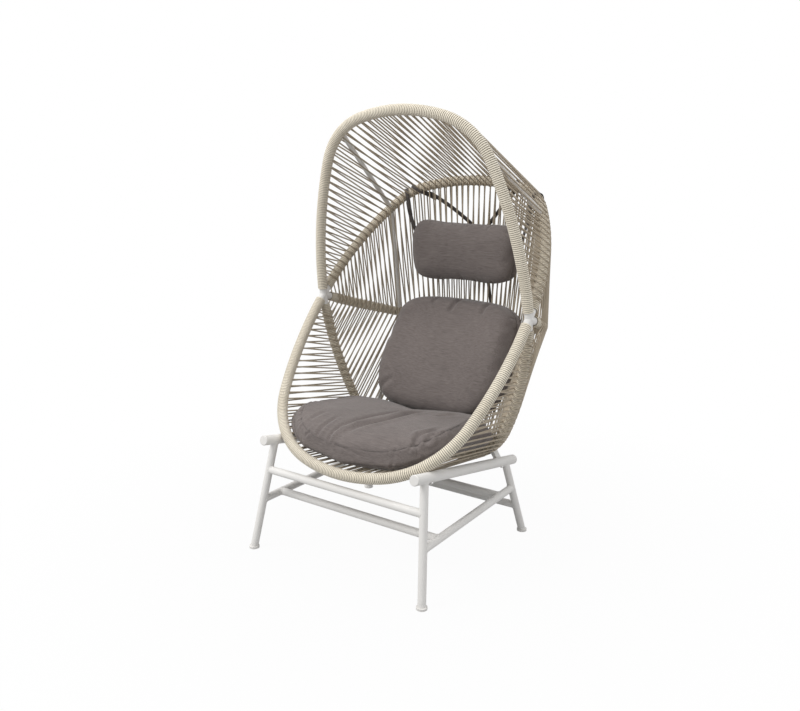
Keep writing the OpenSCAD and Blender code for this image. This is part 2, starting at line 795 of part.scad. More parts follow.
side_rail(left);  // side_rail_left
side_rail(right);  // side_rail_right
rail_end_caps();
leg(left, front);  // leg_front_left
leg(right, front);  // leg_front_right
leg(left, rear);  // leg_rear_left
leg(right, rear);  // leg_rear_right
foot_glides();
front_rail();
rear_rail();
side_stretcher(left);  // side_stretcher_left
side_stretcher(right);  // side_stretcher_right
cross_tube(front);  // cross_tube_front
cross_tube(rear);  // cross_tube_rear
hub_joint(left);  // hub_left
hub_joint(right);  // hub_right
hoop(HOOD);  // hood_hoop
hoop(ARCH);  // arch_hoop
hoop(BELT);  // belt_hoop
hoop(REAR);  // rear_hoop
hoop(FRONT);  // front_hoop
wrap(HOOD);  // hood_wrap
wrap(ARCH);  // arch_wrap
wrap(BELT);  // belt_wrap
wrap(REAR);  // rear_wrap
wrap(FRONT);  // front_wrap
cords(HOOD, ARCH);  // hood_cords
cords(ARCH, BELT);  // back_cords
cords(BELT, REAR);  // lumbar_cords
cords(REAR, FRONT);  // seat_cords
rib(left, HOOD, rib_hood_x, ARCH, rib_arch_x);  // hood_rib_left
rib(right, HOOD, rib_hood_x, ARCH, rib_arch_x);  // hood_rib_right
rib(left, ARCH, rib_arch_x, BELT, rib_belt_x);  // back_rib_left
rib(right, ARCH, rib_arch_x, BELT, rib_belt_x);  // back_rib_right
rib(left, BELT, rib_belt_x, REAR, rib_rear_x);  // lumbar_rib_left
rib(right, BELT, rib_belt_x, REAR, rib_rear_x);  // lumbar_rib_right
shell_bracket(left);  // shell_bracket_left
shell_bracket(right);  // shell_bracket_right
shell_bolts();
seat_cushion();
back_cushion();
headrest();
headrest_strap(left);  // headrest_strap_left
headrest_strap(right);  // headrest_strap_right
stay_strap(left);  // stay_strap_left
stay_strap(right);  // stay_strap_right
stay_strap_tail();
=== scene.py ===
import bpy
import bmesh
import json
import math
import numpy as np
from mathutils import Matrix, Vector, noise
from mathutils.bvhtree import BVHTree

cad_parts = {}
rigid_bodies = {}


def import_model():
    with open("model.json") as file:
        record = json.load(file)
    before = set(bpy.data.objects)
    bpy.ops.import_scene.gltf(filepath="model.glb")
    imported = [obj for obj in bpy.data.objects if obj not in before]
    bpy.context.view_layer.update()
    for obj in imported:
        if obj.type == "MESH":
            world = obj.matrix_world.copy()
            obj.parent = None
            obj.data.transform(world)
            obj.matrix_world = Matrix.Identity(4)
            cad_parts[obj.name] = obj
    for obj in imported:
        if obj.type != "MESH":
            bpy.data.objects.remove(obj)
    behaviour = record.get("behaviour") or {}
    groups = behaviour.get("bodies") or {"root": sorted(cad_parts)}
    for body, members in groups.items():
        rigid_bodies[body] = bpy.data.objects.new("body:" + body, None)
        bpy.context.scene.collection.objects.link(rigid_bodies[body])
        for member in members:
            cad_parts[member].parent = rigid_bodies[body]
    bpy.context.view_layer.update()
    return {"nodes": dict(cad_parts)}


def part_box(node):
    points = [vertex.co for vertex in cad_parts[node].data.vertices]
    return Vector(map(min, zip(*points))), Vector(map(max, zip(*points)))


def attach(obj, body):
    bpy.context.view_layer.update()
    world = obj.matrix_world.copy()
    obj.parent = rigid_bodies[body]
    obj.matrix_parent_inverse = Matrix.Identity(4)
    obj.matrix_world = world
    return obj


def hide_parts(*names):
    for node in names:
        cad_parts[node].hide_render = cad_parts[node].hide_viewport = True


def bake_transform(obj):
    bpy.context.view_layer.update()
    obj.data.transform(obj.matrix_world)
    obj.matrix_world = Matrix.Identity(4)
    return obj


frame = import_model()

MM = 0.001
ROOT = "frame"

# Sizes of the chair, the same as in the part's source, in metres
TUBE_R = 12.5 * MM
RAIL_R = 16 * MM
CORD_R = 2 * MM
WRAP_R = TUBE_R + 0.1 * MM + 2 * CORD_R
CORD_OFF = WRAP_R + 0.5 * MM + CORD_R
HUB_HALF = 403 * MM
# How far the source's origin lies in front of the middle of the chair's box, in mm
SHIFT_Y = 102.199
HUB_Y = (144 - SHIFT_Y) * MM
HUB_Z = 769.425 * MM
CORD_START = 62 * MM
TURNS = 62
# A hoop: its plane's tilt, its turn at the hub, and the radius and turn of its first two arcs
HOOD = (99.6, -1.9, 1.380, 19.9, 0.226, 52.2)
ARCH = (46.7, 0.1, 0.861, 29.7, 0.188, 44.7)
BELT = (-18.0, 2.6, 0.377, 20.2, 0.359, 48.6)
REAR = (-81.6, -2.5, 1.014, 23.0, 0.207, 48.6)
FRONT = (-132.8, 1.8, 1.293, 17.2, 0.304, 58.7)


# The bent hoops

def hoop_arcs(h):
    """The three arcs of a half hoop: radius, centre x, centre y, start and end angle in radians."""
    a0 = math.radians(-h[1])
    a1 = a0 + math.radians(h[3])
    a2 = a1 + math.radians(h[5])
    x1 = HUB_HALF - h[2] * (math.cos(a0) - math.cos(a1))
    y1 = h[2] * (math.sin(a1) - math.sin(a0))
    x2 = x1 - h[4] * (math.cos(a1) - math.cos(a2))
    y2 = y1 + h[4] * (math.sin(a2) - math.sin(a1))
    crown = x2 / math.cos(a2)
    return [
        (h[2], HUB_HALF - h[2] * math.cos(a0), -h[2] * math.sin(a0), a0, a1),
        (h[4], x1 - h[4] * math.cos(a1), y1 - h[4] * math.sin(a1), a1, a2),
        (crown, 0.0, y2 - crown * math.sin(a2), a2, math.pi / 2),
    ]


def half_length(h):
    return sum(a[0] * (a[4] - a[3]) for a in hoop_arcs(h))


def on_hoop(h, s):
    """Place and heading of a hoop's centre line at a length from the right hub."""
    half = half_length(h)
    mirrored = s > half
    left = 2 * half - s if mirrored else s
    for k, a in enumerate(hoop_arcs(h)):
        if left < a[0] * (a[4] - a[3]) or k == 2:
            break
        left -= a[0] * (a[4] - a[3])
    t = a[3] + left / a[0]
    side = -1 if mirrored else 1
    x, y = side * (a[1] + a[0] * math.cos(t)), a[2] + a[0] * math.sin(t)
    hx, hy = -math.sin(t), side * math.cos(t)
    c, d = math.cos(math.radians(h[0])), math.sin(math.radians(h[0]))
    return np.array([x, HUB_Y + y * c, HUB_Z + y * d]), np.array([hx, hy * c, hy * d])


def along(h, share):
    return CORD_START + share * (2 * half_length(h) - 2 * CORD_START)


def unit(v):
    return v / np.linalg.norm(v)


def lift_way(heading, run):
    """The direction away from a strung panel, from a hoop's heading and a cord's run."""
    return unit(np.cross(heading, run))


def on_panel(a, b, across, down, lift):
    """A point over a strung panel, and the direction away from it."""
    p, heading_p = on_hoop(a, along(a, across))
    q, heading_q = on_hoop(b, along(b, across))
    away_p, away_q = lift_way(heading_p, q - p), lift_way(heading_q, q - p)
    p2, q2 = p + lift * away_p, q + lift * away_q
    return p2 + down * (q2 - p2), unit(away_p * (1 - down) + away_q * down)


# Meshes

def in_scene(name, data):
    """A new object in the scene."""
    obj = bpy.data.objects.new(name, data)
    bpy.context.scene.collection.objects.link(obj)
    return obj


def smooth(mesh):
    mesh.polygons.foreach_set("use_smooth", [True] * len(mesh.polygons))


def rows(items, key):
    """Three numbers for each of a mesh's points."""
    values = np.zeros(3 * len(items), dtype=np.float32)
    items.foreach_get(key, values)
    return values.reshape(-1, 3).astype(float)


def bake(obj):
    """Turns an object's modifiers into its mesh."""
    deps = bpy.context.evaluated_depsgraph_get()
    deps.update()
    mesh = bpy.data.meshes.new_from_object(obj.evaluated_get(deps))
    old = obj.data
    obj.modifiers.clear()
    obj.data = mesh
    bpy.data.meshes.remove(old)


def outward(obj):
    """Turns a closed piece's faces outwards."""
    bm = bmesh.new()
    bm.from_mesh(obj.data)
    bmesh.ops.recalc_face_normals(bm, faces=bm.faces)
    bm.to_mesh(obj.data)
    bm.free()
    return obj


def declare(obj, body, node=None):
    """Says what a piece rides on, and hides the CAD node that it stands for, if any."""
    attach(obj, body)
    if node:
        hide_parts(node)


# Node trees

def add_node(tree, kind, settings=None, **inputs):
    """Adds a node, sets its choices, and fills its sockets with values or links.

    A socket goes by its name, with _ for a space, or by its number, as in i0.
    """
    node = tree.nodes.new(kind)
    for key, value in (settings or {}).items():
        setattr(node, key, value)
    for key, value in inputs.items():
        numbered = key[0] == "i" and key[1:].isdigit()
        socket = node.inputs[int(key[1:]) if numbered else key.replace("_", " ")]
        if isinstance(value, Val):
            value = value.socket
        if isinstance(value, bpy.types.NodeSocket):
            tree.links.new(value, socket)
        else:
            socket.default_value = value
    return node


class Tree:
    """A Geometry Nodes tree being built, with named inputs for its sizes."""

    def __init__(self, name, **sizes):
        self.tree = bpy.data.node_groups.new(name, "GeometryNodeTree")
        face = self.tree.interface
        face.new_socket("Path", in_out="INPUT", socket_type="NodeSocketGeometry")
        self.ids = {}
        for word, kind in {**sizes, "Finish": "Material"}.items():
            label = word.replace("_", " ")
            socket = face.new_socket(label, in_out="INPUT", socket_type="NodeSocket" + kind)
            self.ids[word] = socket.identifier
        face.new_socket("Piece", in_out="OUTPUT", socket_type="NodeSocketGeometry")
        self.start = self.tree.nodes.new("NodeGroupInput")
        self.end = self.tree.nodes.new("NodeGroupOutput")

    def take(self, label):
        return self.start.outputs[label]

    def node(self, kind, settings=None, **inputs):
        """Adds a node and gives back its first output; a geometry node goes by its short name."""
        full = kind if "Node" in kind else "GeometryNode" + kind
        return add_node(self.tree, full, settings, **inputs).outputs[0]

    def store(self, geometry, name, value, domain="POINT"):
        """Keeps a number under a name on each point, or on each copy."""
        return self.node("StoreNamedAttribute", {"data_type": "FLOAT", "domain": domain},
                         Geometry=geometry, Name=name, Value=value)

    def line(self):
        """The path as a curve."""
        return self.node("MeshToCurve", Mesh=self.take("Path"))

    def spots(self):
        """Places along the path, a pitch apart."""
        return self.node("CurveToPoints", {"mode": "LENGTH"}, Curve=self.line(),
                         Length=self.take("Pitch")).node

    def circle(self, sides, radius, kept):
        """A circle that keeps the share of the way round it."""
        ring = self.node("CurvePrimitiveCircle", Resolution=self.take(sides),
                         Radius=self.take(radius))
        share = self.node("SplineParameter").node.outputs["Factor"]
        return self.store(ring, kept, share)

    def finish(self, geometry):
        real = self.node("RealizeInstances", Geometry=geometry)
        dressed = self.node("SetMaterial", Geometry=real, Material=self.take("Finish"))
        self.tree.links.new(dressed, self.end.inputs[0])

    def on(self, name, path, finish, closed=False, **values):
        """Runs the tree on a path and gives back the piece as a plain mesh."""
        mesh = bpy.data.meshes.new(name)
        n = len(path)
        edges = [(i, i + 1) for i in range(n - 1)] + ([(n - 1, 0)] if closed else [])
        mesh.from_pydata([tuple(p) for p in path], edges, [])
        obj = in_scene(name, mesh)
        mod = obj.modifiers.new("made", "NODES")
        mod.node_group = self.tree
        for word, value in {**values, "Finish": finish.mat}.items():
            mod[self.ids[word]] = value
        bake(obj)
        wind_uv(obj.data)
        finish.give(obj)
        smooth(obj.data)
        return obj


def wind_uv(mesh):
    """A uv map from the lengths kept along and around a cord, unbroken where it closes."""
    corner = np.zeros(len(mesh.loops), dtype=np.int32)
    mesh.loops.foreach_get("vertex_index", corner)
    first = np.zeros(len(mesh.polygons), dtype=np.int32)
    mesh.polygons.foreach_get("loop_start", first)
    size = np.diff(np.append(first, len(corner)))

    def kept(name):
        values = np.zeros(len(mesh.vertices), dtype=np.float32)
        if mesh.attributes.get(name) is not None:
            mesh.attributes[name].data.foreach_get("value", values)
        return values[corner]

    u, v = kept("along") + kept("turn"), kept("around")
    for values in [v] if mesh.attributes.get("turn") is None else [u, v]:
        top = np.maximum.reduceat(values, first)
        values[np.repeat(top, size) - values > 0.5] += 1
    layer = mesh.uv_layers.new(name="run")
    layer.data.foreach_set("uv", np.stack([u, v], axis=1).ravel())


def cord_tree():
    """A round cord swept along a path."""
    t = Tree("cord_along_path", Radius="Float", Sides="Int")
    way = t.node("SplineParameter").node
    line = t.store(t.line(), "along", way.outputs["Length"])
    ring = t.circle("Sides", "Radius", "around")
    t.finish(t.node("CurveToMesh", Curve=line, Profile_Curve=ring, Fill_Caps=True))
    return t


def winding_tree():
    """Turns of cord laid side by side along the line of a tube."""
    t = Tree("cord_wound_round_tube", Pitch="Float", Winding_radius="Float", Cord_radius="Float",
             Flattening="Float", Turn_sides="Int", Cord_sides="Int", Unevenness="Float", Seed="Int")
    turn = t.circle("Turn sides", "Winding radius", "along")
    ring = t.circle("Cord sides", "Cord radius", "around")
    flat = t.node("ShaderNodeCombineXYZ", X=1.0, Y=t.take("Flattening"), Z=1.0)
    ring = t.node("Transform", Geometry=ring, Scale=flat)
    turn = t.node("CurveToMesh", Curve=turn, Profile_Curve=ring)
    small = t.node("ShaderNodeMath", {"operation": "SUBTRACT"}, i0=1.0, i1=t.take("Unevenness"))
    size = t.node("FunctionNodeRandomValue", {"data_type": "FLOAT"}, i2=small, i3=1.0,
                  Seed=t.take("Seed")).node.outputs[1]
    spots = t.spots()
    laid = t.node("InstanceOnPoints", Points=spots.outputs["Points"], Instance=turn,
                  Rotation=spots.outputs["Rotation"], Scale=size)
    t.finish(t.store(laid, "turn", t.node("InputIndex"), "INSTANCE"))
    return t


# Materials

def operator(op, swap=False):
    return lambda self, other: self.math(op, other, swap)


class Val:
    """A shader socket that adds Math nodes when it is used in an expression."""

    __add__ = __radd__ = operator("ADD")
    __mul__ = __rmul__ = operator("MULTIPLY")
    __sub__ = operator("SUBTRACT")
    __rsub__ = operator("SUBTRACT", True)
    __truediv__ = operator("DIVIDE")
    __rtruediv__ = operator("DIVIDE", True)

    def __init__(self, tree, socket):
        self.tree, self.socket = tree, socket

    def math(self, op, other=None, swap=False):
        node = self.tree.nodes.new("ShaderNodeMath")
        node.operation = op
        for k, v in enumerate((other, self) if swap else (self, other)):
            if isinstance(v, Val):
                self.tree.links.new(v.socket, node.inputs[k])
            elif v is not None:
                node.inputs[k].default_value = v
        return Val(self.tree, node.outputs[0])

    def floor(self):
        return self.math("FLOOR")

    def wave(self):
        """Falls from 1 to 0 and rises back to 1 between one whole number and the next."""
        return (self.math("FRACT") - 0.5).math("ABSOLUTE") * 2

    def held(self):
        """The value, kept between 0 and 1."""
        out = self.math("ADD", 0.0)
        out.socket.node.use_clamp = True
        return out


class Finish:
    """One material being built: its node tree, its texture coordinates and its shader."""

    def __init__(self, name, colour, rough, metallic=0.0, sheen=0.0, specular=0.5):
        self.mat = bpy.data.materials.new(name)
        self.mat.use_nodes = True
        self.tree = self.mat.node_tree
        self.shader = self.tree.nodes["Principled BSDF"]
        for socket, value in (("Base Color", (*colour, 1)), ("Roughness", rough), ("Metallic", metallic),
                              ("Specular IOR Level", specular), ("Sheen Weight", sheen)):
            self.shader.inputs[socket].default_value = value
        self.mat.diffuse_color = (*colour, 1)
        self.coords = self.node("TexCoord").outputs

    def node(self, kind, settings=None, **inputs):
        return add_node(self.tree, "ShaderNode" + kind, settings, **inputs)

    def out(self, node, index=0):
        return Val(self.tree, node.outputs[index])

    def run(self):
        """The two numbers of a piece's uv map."""
        node = self.node("SeparateXYZ", Vector=self.coords["UV"])
        return self.out(node, 0), self.out(node, 1)

    def noise(self, scale, detail=2.0, rough=0.5):
        """Unevenness; scale is one number, or three where the pattern is drawn out."""
        stretch = scale if isinstance(scale, tuple) else (scale,) * 3
        place = self.node("Mapping", Vector=self.coords["Object"], Scale=stretch)
        return self.out(self.node("TexNoise", Vector=place.outputs[0], Scale=1.0, Detail=detail,
                                  Roughness=rough))

    def speckle(self, number):
        """A random value that is the same wherever the number is."""
        return self.out(self.node("TexWhiteNoise", {"noise_dimensions": "1D"}, W=number))

    def blend(self, share, a, b):
        a, b = (v if isinstance(v, Val) else (*v, 1) for v in (a, b))
        return self.out(self.node("Mix", {"data_type": "RGBA"}, i0=share, i6=a, i7=b), 2)

    def feed(self, label, value):
        self.tree.links.new(value.socket, self.shader.inputs[label])

    def colour(self, share, a, b):
        self.feed("Base Color", self.blend(share, a, b))

    def rough(self, value):
        self.feed("Roughness", value)

    def bump(self, height, depth, strength):
        node = self.node("Bump", Height=height, Distance=depth, Strength=strength)
        self.feed("Normal", self.out(node))

    def give(self, obj):
        obj.data.materials.clear()
        obj.data.materials.append(self.mat)


def powder_coat():
    f = Finish("powder_coat", (0.75, 0.73, 0.70), 0.6, specular=0.38)
    grain = f.noise(2600)
    f.colour(f.noise(9, 3.0), (0.72, 0.70, 0.67), (0.785, 0.765, 0.735))
    f.rough(0.52 + 0.16 * grain)
    f.bump(grain, 0.2 * MM, 0.35)
    return f


def moulded():
    f = Finish("moulded_cap", (0.73, 0.71, 0.68), 0.6)
    grain = f.noise(1800)
    f.colour(grain, (0.70, 0.68, 0.65), (0.755, 0.735, 0.705))
    f.rough(0.55 + 0.15 * grain)
    f.bump(grain, 0.2 * MM, 0.3)
    return f


def bolt_metal():
    f = Finish("bolt_steel", (0.55, 0.54, 0.53), 0.35, metallic=1.0)
    grain = f.noise(900, 3.0)
    f.colour(grain, (0.48, 0.47, 0.46), (0.60, 0.59, 0.58))
    f.rough(0.28 + 0.2 * grain)
    return f


def panel_cord_painted_shade():
    """Round braided cord, much darker than the wound cord of the same kind, as painted shade: u is the
    length along the cord, v the share of the way round it.
    """
    high, lay = (0.475, 0.403, 0.305), 4.4 * MM
    f = Finish("panel_cord_painted_shade", high, 0.62, sheen=0.1, specular=0.3)
    u, v = f.run()
    turn = u / lay
    braid = (turn + v * 2).wave().math("MAXIMUM", (turn - v * 2).wave())
    cloud = f.noise(26, 3.0)
    fibre = f.noise(1500)
    # painted shade: both colours sit well below the wound cord's, for cords that lie in shade
    f.colour((0.25 + 0.45 * cloud + 0.2 * fibre + 0.2 * braid).held(), (0.24, 0.195, 0.141), high)
    f.rough(0.55 + 0.2 * fibre)
    f.bump(braid * 0.8 + fibre * 0.3, 0.4 * MM, 0.6)
    return f


def wrap_finish(name, low, high):
    """Cord wound round a hoop, with painted shade in its grooves between turns: u counts the turns, v runs
    round the cord.
    """
    f = Finish(name, high, 0.6, sheen=0.25, specular=0.35)
    u, v = f.run()
    shade = f.speckle((u + 0.001).floor())
    cloud = f.noise(14, 3.0)
    fibre = f.noise(1400)
    braid = (u * 22 + v * 2).wave()
    # painted shade: the sides of each turn, where it meets the next, take a dark colour, and the crest
    # keeps the cord's tone
    unshaded_crest = (((v * (2 * math.pi)).math("COSINE") - 0.44) * 1.95).held()
    length = f.speckle((u / 11).floor())
    tone = (0.16 * shade + 0.25 * length + 0.4 * cloud + 0.2 * fibre + 0.1 * braid - 0.02).held()
    # the first colour is the painted groove shade
    f.colour(unshaded_crest, (0.235, 0.195, 0.14), f.blend(tone, low, high))
    f.rough(0.52 + 0.2 * fibre)
    f.bump(braid * 0.6 + fibre * 0.4, 0.3 * MM, 0.5)
    return f


def cushion_cloth():
    """Slubbed flat weave: long horizontal yarns of uneven tone over fine upright ones."""
    f = Finish("slub_cloth", (0.185, 0.16, 0.145), 0.9, sheen=0.2, specular=0.2)
    slub = f.noise((26, 620, 620), 3.0, 0.6)
    broad = f.noise((14, 330, 330))
    fine = f.noise((160, 2400, 2400))
    warp = f.noise((2600, 240, 240), 1.0)
    cloud = f.noise(7, 3.0)
    tone = slub * 1.3 + broad * 0.45 + fine * 0.4 + warp * 0.2 + cloud * 0.35 - 0.83
    f.colour(tone.held(), (0.084, 0.0705, 0.066), (0.220, 0.188, 0.175))
    f.rough(0.82 + 0.12 * fine)
    f.bump(fine * 0.6 + warp * 0.5 + slub * 0.6, 0.6 * MM, 0.7)
    return f


def piping_cloth():
    f = Finish("piping_cloth", (0.16, 0.138, 0.125), 0.9, sheen=0.3, specular=0.2)
    u, v = f.run()
    twill = (u * 900 + v * 3).wave()
    cloud = f.noise(400, 3.0)
    f.colour((twill * 0.4 + cloud * 0.7).held(), (0.052, 0.044, 0.041), (0.115, 0.098, 0.090))
    f.bump(twill, 0.3 * MM, 0.6)
    return f


def strap_webbing():
    """Flat webbing: u runs along it, v across it."""
    f = Finish("webbing", (0.03, 0.026, 0.023), 0.75, sheen=0.2, specular=0.3)
    u, v = f.run()
    rib = (u * 620).wave()
    yarn = (v * 16 + (u * 310).floor() * 0.5).wave()
    cloud = f.noise(300)
    f.colour((rib * 0.35 + yarn * 0.35 + cloud * 0.4).held(), (0.035, 0.030, 0.028), (0.115, 0.10, 0.092))
    f.rough(0.65 + 0.2 * yarn)
    f.bump(rib * 0.6 + yarn * 0.6, 0.4 * MM, 0.6)
    return f


def thread_finish():
    f = Finish("strap_thread", (0.06, 0.052, 0.046), 0.7, specular=0.3)
    grain = f.noise(2500)
    f.colour(grain, (0.045, 0.039, 0.034), (0.11, 0.096, 0.085))
    f.rough(0.6 + 0.2 * grain)
    return f


coat = powder_coat()
cap_finish = moulded()
bolt_finish = bolt_metal()
# the strung cords use the darker copy of the cord, with painted shade
strung = panel_cord_painted_shade()
# the inner hoops' winding is the same cord as the rims', given darker colours as painted shade
wound = wrap_finish("wound_cord", (0.66, 0.59, 0.465), (0.87, 0.805, 0.675))
wound_painted_shade = wrap_finish("wound_cord_painted_shade", (0.55, 0.485, 0.375), (0.76, 0.69, 0.565))
cloth = cushion_cloth()
piping = piping_cloth()
webbing = strap_webbing()
thread = thread_finish()

NODES = frame["nodes"]
COATED_ENDS = ("_rail", "_hoop", "_rib_left", "_rib_right")
COATED_STARTS = ("side_rail", "leg_", "side_stretcher", "cross_tube", "hub_", "shell_bracket")
for name, obj in NODES.items():
    if name.endswith(COATED_ENDS) or name.startswith(COATED_STARTS):
        coat.give(obj)
    elif name in ("foot_glides", "rail_end_caps"):
        cap_finish.give(obj)
    elif name == "shell_bolts":
        bolt_finish.give(obj)


# Weld beads where the base's tubes meet

corded = cord_tree()
BEAD_R = 1.7 * MM
BEAD_STEPS = 40


def tube_line(node):
    """A straight tube's middle, its direction and its radius, from its CAD mesh."""
    pts = np.unique(np.round([v.co for v in NODES[node].data.vertices], 5), axis=0)
    middle = pts.mean(axis=0)
    off = pts - middle
    way = np.linalg.svd(off, full_matrices=False)[2][0]
    reach = np.linalg.norm(off - np.outer(off @ way, way), axis=1)
    return middle, way, np.percentile(reach, 80)


def bead(main, branch):
    """The closed line on which one tube's end meets the side of another."""
    m0, m_way, m_r = tube_line(main)
    b0, b_way, b_r = tube_line(branch)
    b_r = min(b_r, m_r)
    square = np.cross(m_way, b_way)
    to_main = np.cross(b0 - m0, m_way) @ square / (square @ square)
    into = b_way if to_main > 0 else -b_way
    e1 = unit(np.cross(into, m_way))
    e2 = np.cross(into, e1)
    ring = []
    for ang in np.linspace(0, 2 * math.pi, BEAD_STEPS, endpoint=False):
        start = b0 + b_r * (math.cos(ang) * e1 + math.sin(ang) * e2)
        gap = start - m0
        flat_gap, flat_way = gap - m_way * (gap @ m_way), into - m_way * (into @ m_way)
        a, b, c = flat_way @ flat_way, flat_gap @ flat_way, flat_gap @ flat_gap - m_r * m_r
        depth = max(b * b - a * c, 0.0)
        ring.append(start + into * (-b - math.sqrt(depth)) / a)
    return ring


def lay_cord(name, path, finish, body, slot, node=None, **sizes):
    """A round cord along a path, as a declared piece."""
    declare(outward(corded.on(name, path, finish, **sizes)), body, node)


def weld_beads():
    sides, ends = ("left", "right"), ("front", "rear")
    corners = [(side, end) for side in sides for end in ends]
    pairs = [(f"leg_{end}_{side}", end + "_rail") for end in ends for side in sides]
    pairs += [("side_stretcher_" + side, "cross_tube_" + end) for side, end in corners]
    pairs += [(f"leg_{end}_{side}", "side_stretcher_" + side) for side, end in corners]
    pairs += [("side_rail_" + side, f"leg_{end}_{side}") for side, end in corners]
    for main, branch in pairs:
        lay_cord("weld_" + branch + "_on_" + main, bead(main, branch), coat, ROOT, "frame_coat",
                 closed=True, Radius=BEAD_R, Sides=8)


weld_beads()


# Wound cord on the hoops

WRAP_PITCH = 6.0 * MM
WRAP_THICK = 4.2 * MM
# How much further out the cord of the two rim hoops lies; the rims keep the lit finish, the inner hoops'
# winding the darker copy with painted shade
RIM_EXTRA = 1 * MM
winding = winding_tree()


def wound_hoop(name, h, start, node, seed, extra=0.0):
    """A hoop's winding: one cord laid round the tube, turn beside turn."""
    full = 2 * half_length(h)
    path = [on_hoop(h, s)[0] for s in np.linspace(start, full - start, 240)]
    # the rims take the lit finish, the inner hoops the darker copy with painted shade
    obj = winding.on(name, path, wound if extra else wound_painted_shade, Pitch=WRAP_PITCH,
                     Winding_radius=WRAP_R + extra - WRAP_THICK / 2, Cord_radius=WRAP_THICK / 2,
                     Flattening=WRAP_PITCH * 1.04 / WRAP_THICK, Turn_sides=20, Cord_sides=8,
                     Unevenness=0.012, Seed=seed)
    declare(obj, ROOT, node)


wound_hoop("hood_winding", HOOD, 25 * MM, "hood_wrap", 1, RIM_EXTRA)
wound_hoop("arch_winding", ARCH, 37 * MM, "arch_wrap", 2)
wound_hoop("belt_winding", BELT, 37 * MM, "belt_wrap", 3)
wound_hoop("rear_winding", REAR, 37 * MM, "rear_wrap", 4)
wound_hoop("front_winding", FRONT, 25 * MM, "front_wrap", 5, RIM_EXTRA)


# Strung panels

# The ends of the right side rail's middle line
RAIL_FRONT = np.array([0.288, -0.294 - SHIFT_Y * MM, 0.371])
RAIL_REAR = np.array([0.288, 0.294 - SHIFT_Y * MM, 0.251])


def near_rail(p, q):
    """True where a cord of the outer face would run into a side rail."""
    way = unit(RAIL_REAR - RAIL_FRONT)
    for t in np.linspace(0, 1, 60):
        m = p + (q - p) * t
        m[0] = abs(m[0])
        v = m - RAIL_FRONT
        if np.linalg.norm(v - way * np.dot(v, way)) < RAIL_R + CORD_R + 0.3 * MM:
            return True
    return False


# The cord as it is strung, and its way round the outer and the inner hoops
STRUNG_R = 2.5 * MM
RIM_LOOP = WRAP_R - 2.6 * MM
INNER_LOOP = WRAP_R + 0.4 * MM
LOOP_BENDS = 9


def round_hoop(run, face, after, face_after, end, loop):
    """The cord's way round the hoop at one end of a run, from its face to the next run's.

    A face is an angle: 0 for the inner one and pi for the outer one.
    """
    (c0, lift0), (c1, lift1) = run[end], after[end]
    way = run[2] if end else -run[2]
    points = []
    for t in np.linspace(0, 1, LOOP_BENDS if face != face_after else 2):
        ang = face + (face_after - face) * t
        lift = unit(lift0 + (lift1 - lift0) * t)
        points.append(c0 + (c1 - c0) * t + loop * (math.cos(ang) * lift + math.sin(ang) * way))
    return points


def strung_panel(name, a, b, node, seed):
    """One running cord that zigzags between two hoops, over the inner and the outer face."""
    rng = np.random.default_rng(seed)
    drift = rng.normal(0, 0.35 * MM, 2 * TURNS + 2)
    loops = (RIM_LOOP if a is HOOD else INNER_LOOP, RIM_LOOP if b is FRONT else INNER_LOOP)
    runs, faces = [], []
    for k in range(2 * TURNS):
        p, heading_p = on_hoop(a, along(a, math.ceil(k / 2) / TURNS) + drift[k])
        q, heading_q = on_hoop(b, along(b, (k // 2 + 0.5) / TURNS) + drift[k + 1])
        lift_p, lift_q = lift_way(heading_p, q - p), lift_way(heading_q, q - p)
        outer = k % 2 and not near_rail(p - loops[0] * lift_p, q - loops[1] * lift_q)
        runs.append(((p, lift_p), (q, lift_q), unit(q - p)))
        faces.append(math.pi if outer else 0.0)
    path = round_hoop(runs[0], math.pi, runs[0], faces[0], 0, loops[0])
    runs.append(runs[-1])
    faces.append(0.0)
    for k in range(2 * TURNS):
        end = 1 - k % 2
        path += round_hoop(runs[k], faces[k], runs[k + 1], faces[k + 1], end, loops[end])
    lay_cord(name, path, strung, ROOT, "cord", node, Radius=STRUNG_R, Sides=8)


strung_panel("hood_stringing", HOOD, ARCH, "hood_cords", 11)
strung_panel("back_stringing", ARCH, BELT, "back_cords", 12)
strung_panel("lumbar_stringing", BELT, REAR, "lumbar_cords", 13)
strung_panel("seat_stringing", REAR, FRONT, "seat_cords", 14)


# Cushions

FACE = CORD_OFF + CORD_R + 0.6 * MM
# How far a cushion has risen over its border, by its spread from the middle
CROWN_SPREAD = [0, 0.32, 0.62, 0.82, 0.93, 0.975, 1.0]
CROWN_BORDER = [1, 1, 1, 1, 1, 0.96, 0.8]
CROWN_RISE = [1, 0.94, 0.74, 0.42, 0.16, 0.03, 0]


class Pad:
    """A cushion's plain form: where its skin lies by shares across and down, and height."""

    def __init__(self, corner, border, crown, place):
        self.corner, self.border, self.crown, self.place = corner, border, crown, place

    def rim(self, angle, share):
        """A point of the border, by the angle round it and the share of its height."""
        a = math.radians(angle)
        u, v = (math.copysign(abs(k) ** self.corner, k) for k in (math.cos(a), math.sin(a)))
        return self.place(u, v, share * self.border(u, v))

    def around(self, share):
        """A closed line round the border, at the share of its height that each angle gives."""
        return [self.rim(a, share(a)) for a in range(0, 360, 3)]

    def top(self, u, v):
        """A point of the crown."""
        k = 2 / self.corner
        r = min((abs(u) ** k + abs(v) ** k) ** (1 / k), 1)
        return self.place(u, v, np.interp(r, CROWN_SPREAD, CROWN_BORDER) * self.border(u, v)
                          + np.interp(r, CROWN_SPREAD, CROWN_RISE) * self.crown)


def panel_drop(a, b):
    """The way between two hoops' crowns."""
    return np.linalg.norm(on_hoop(a, half_length(a))[0] - on_hoop(b, half_length(b))[0])


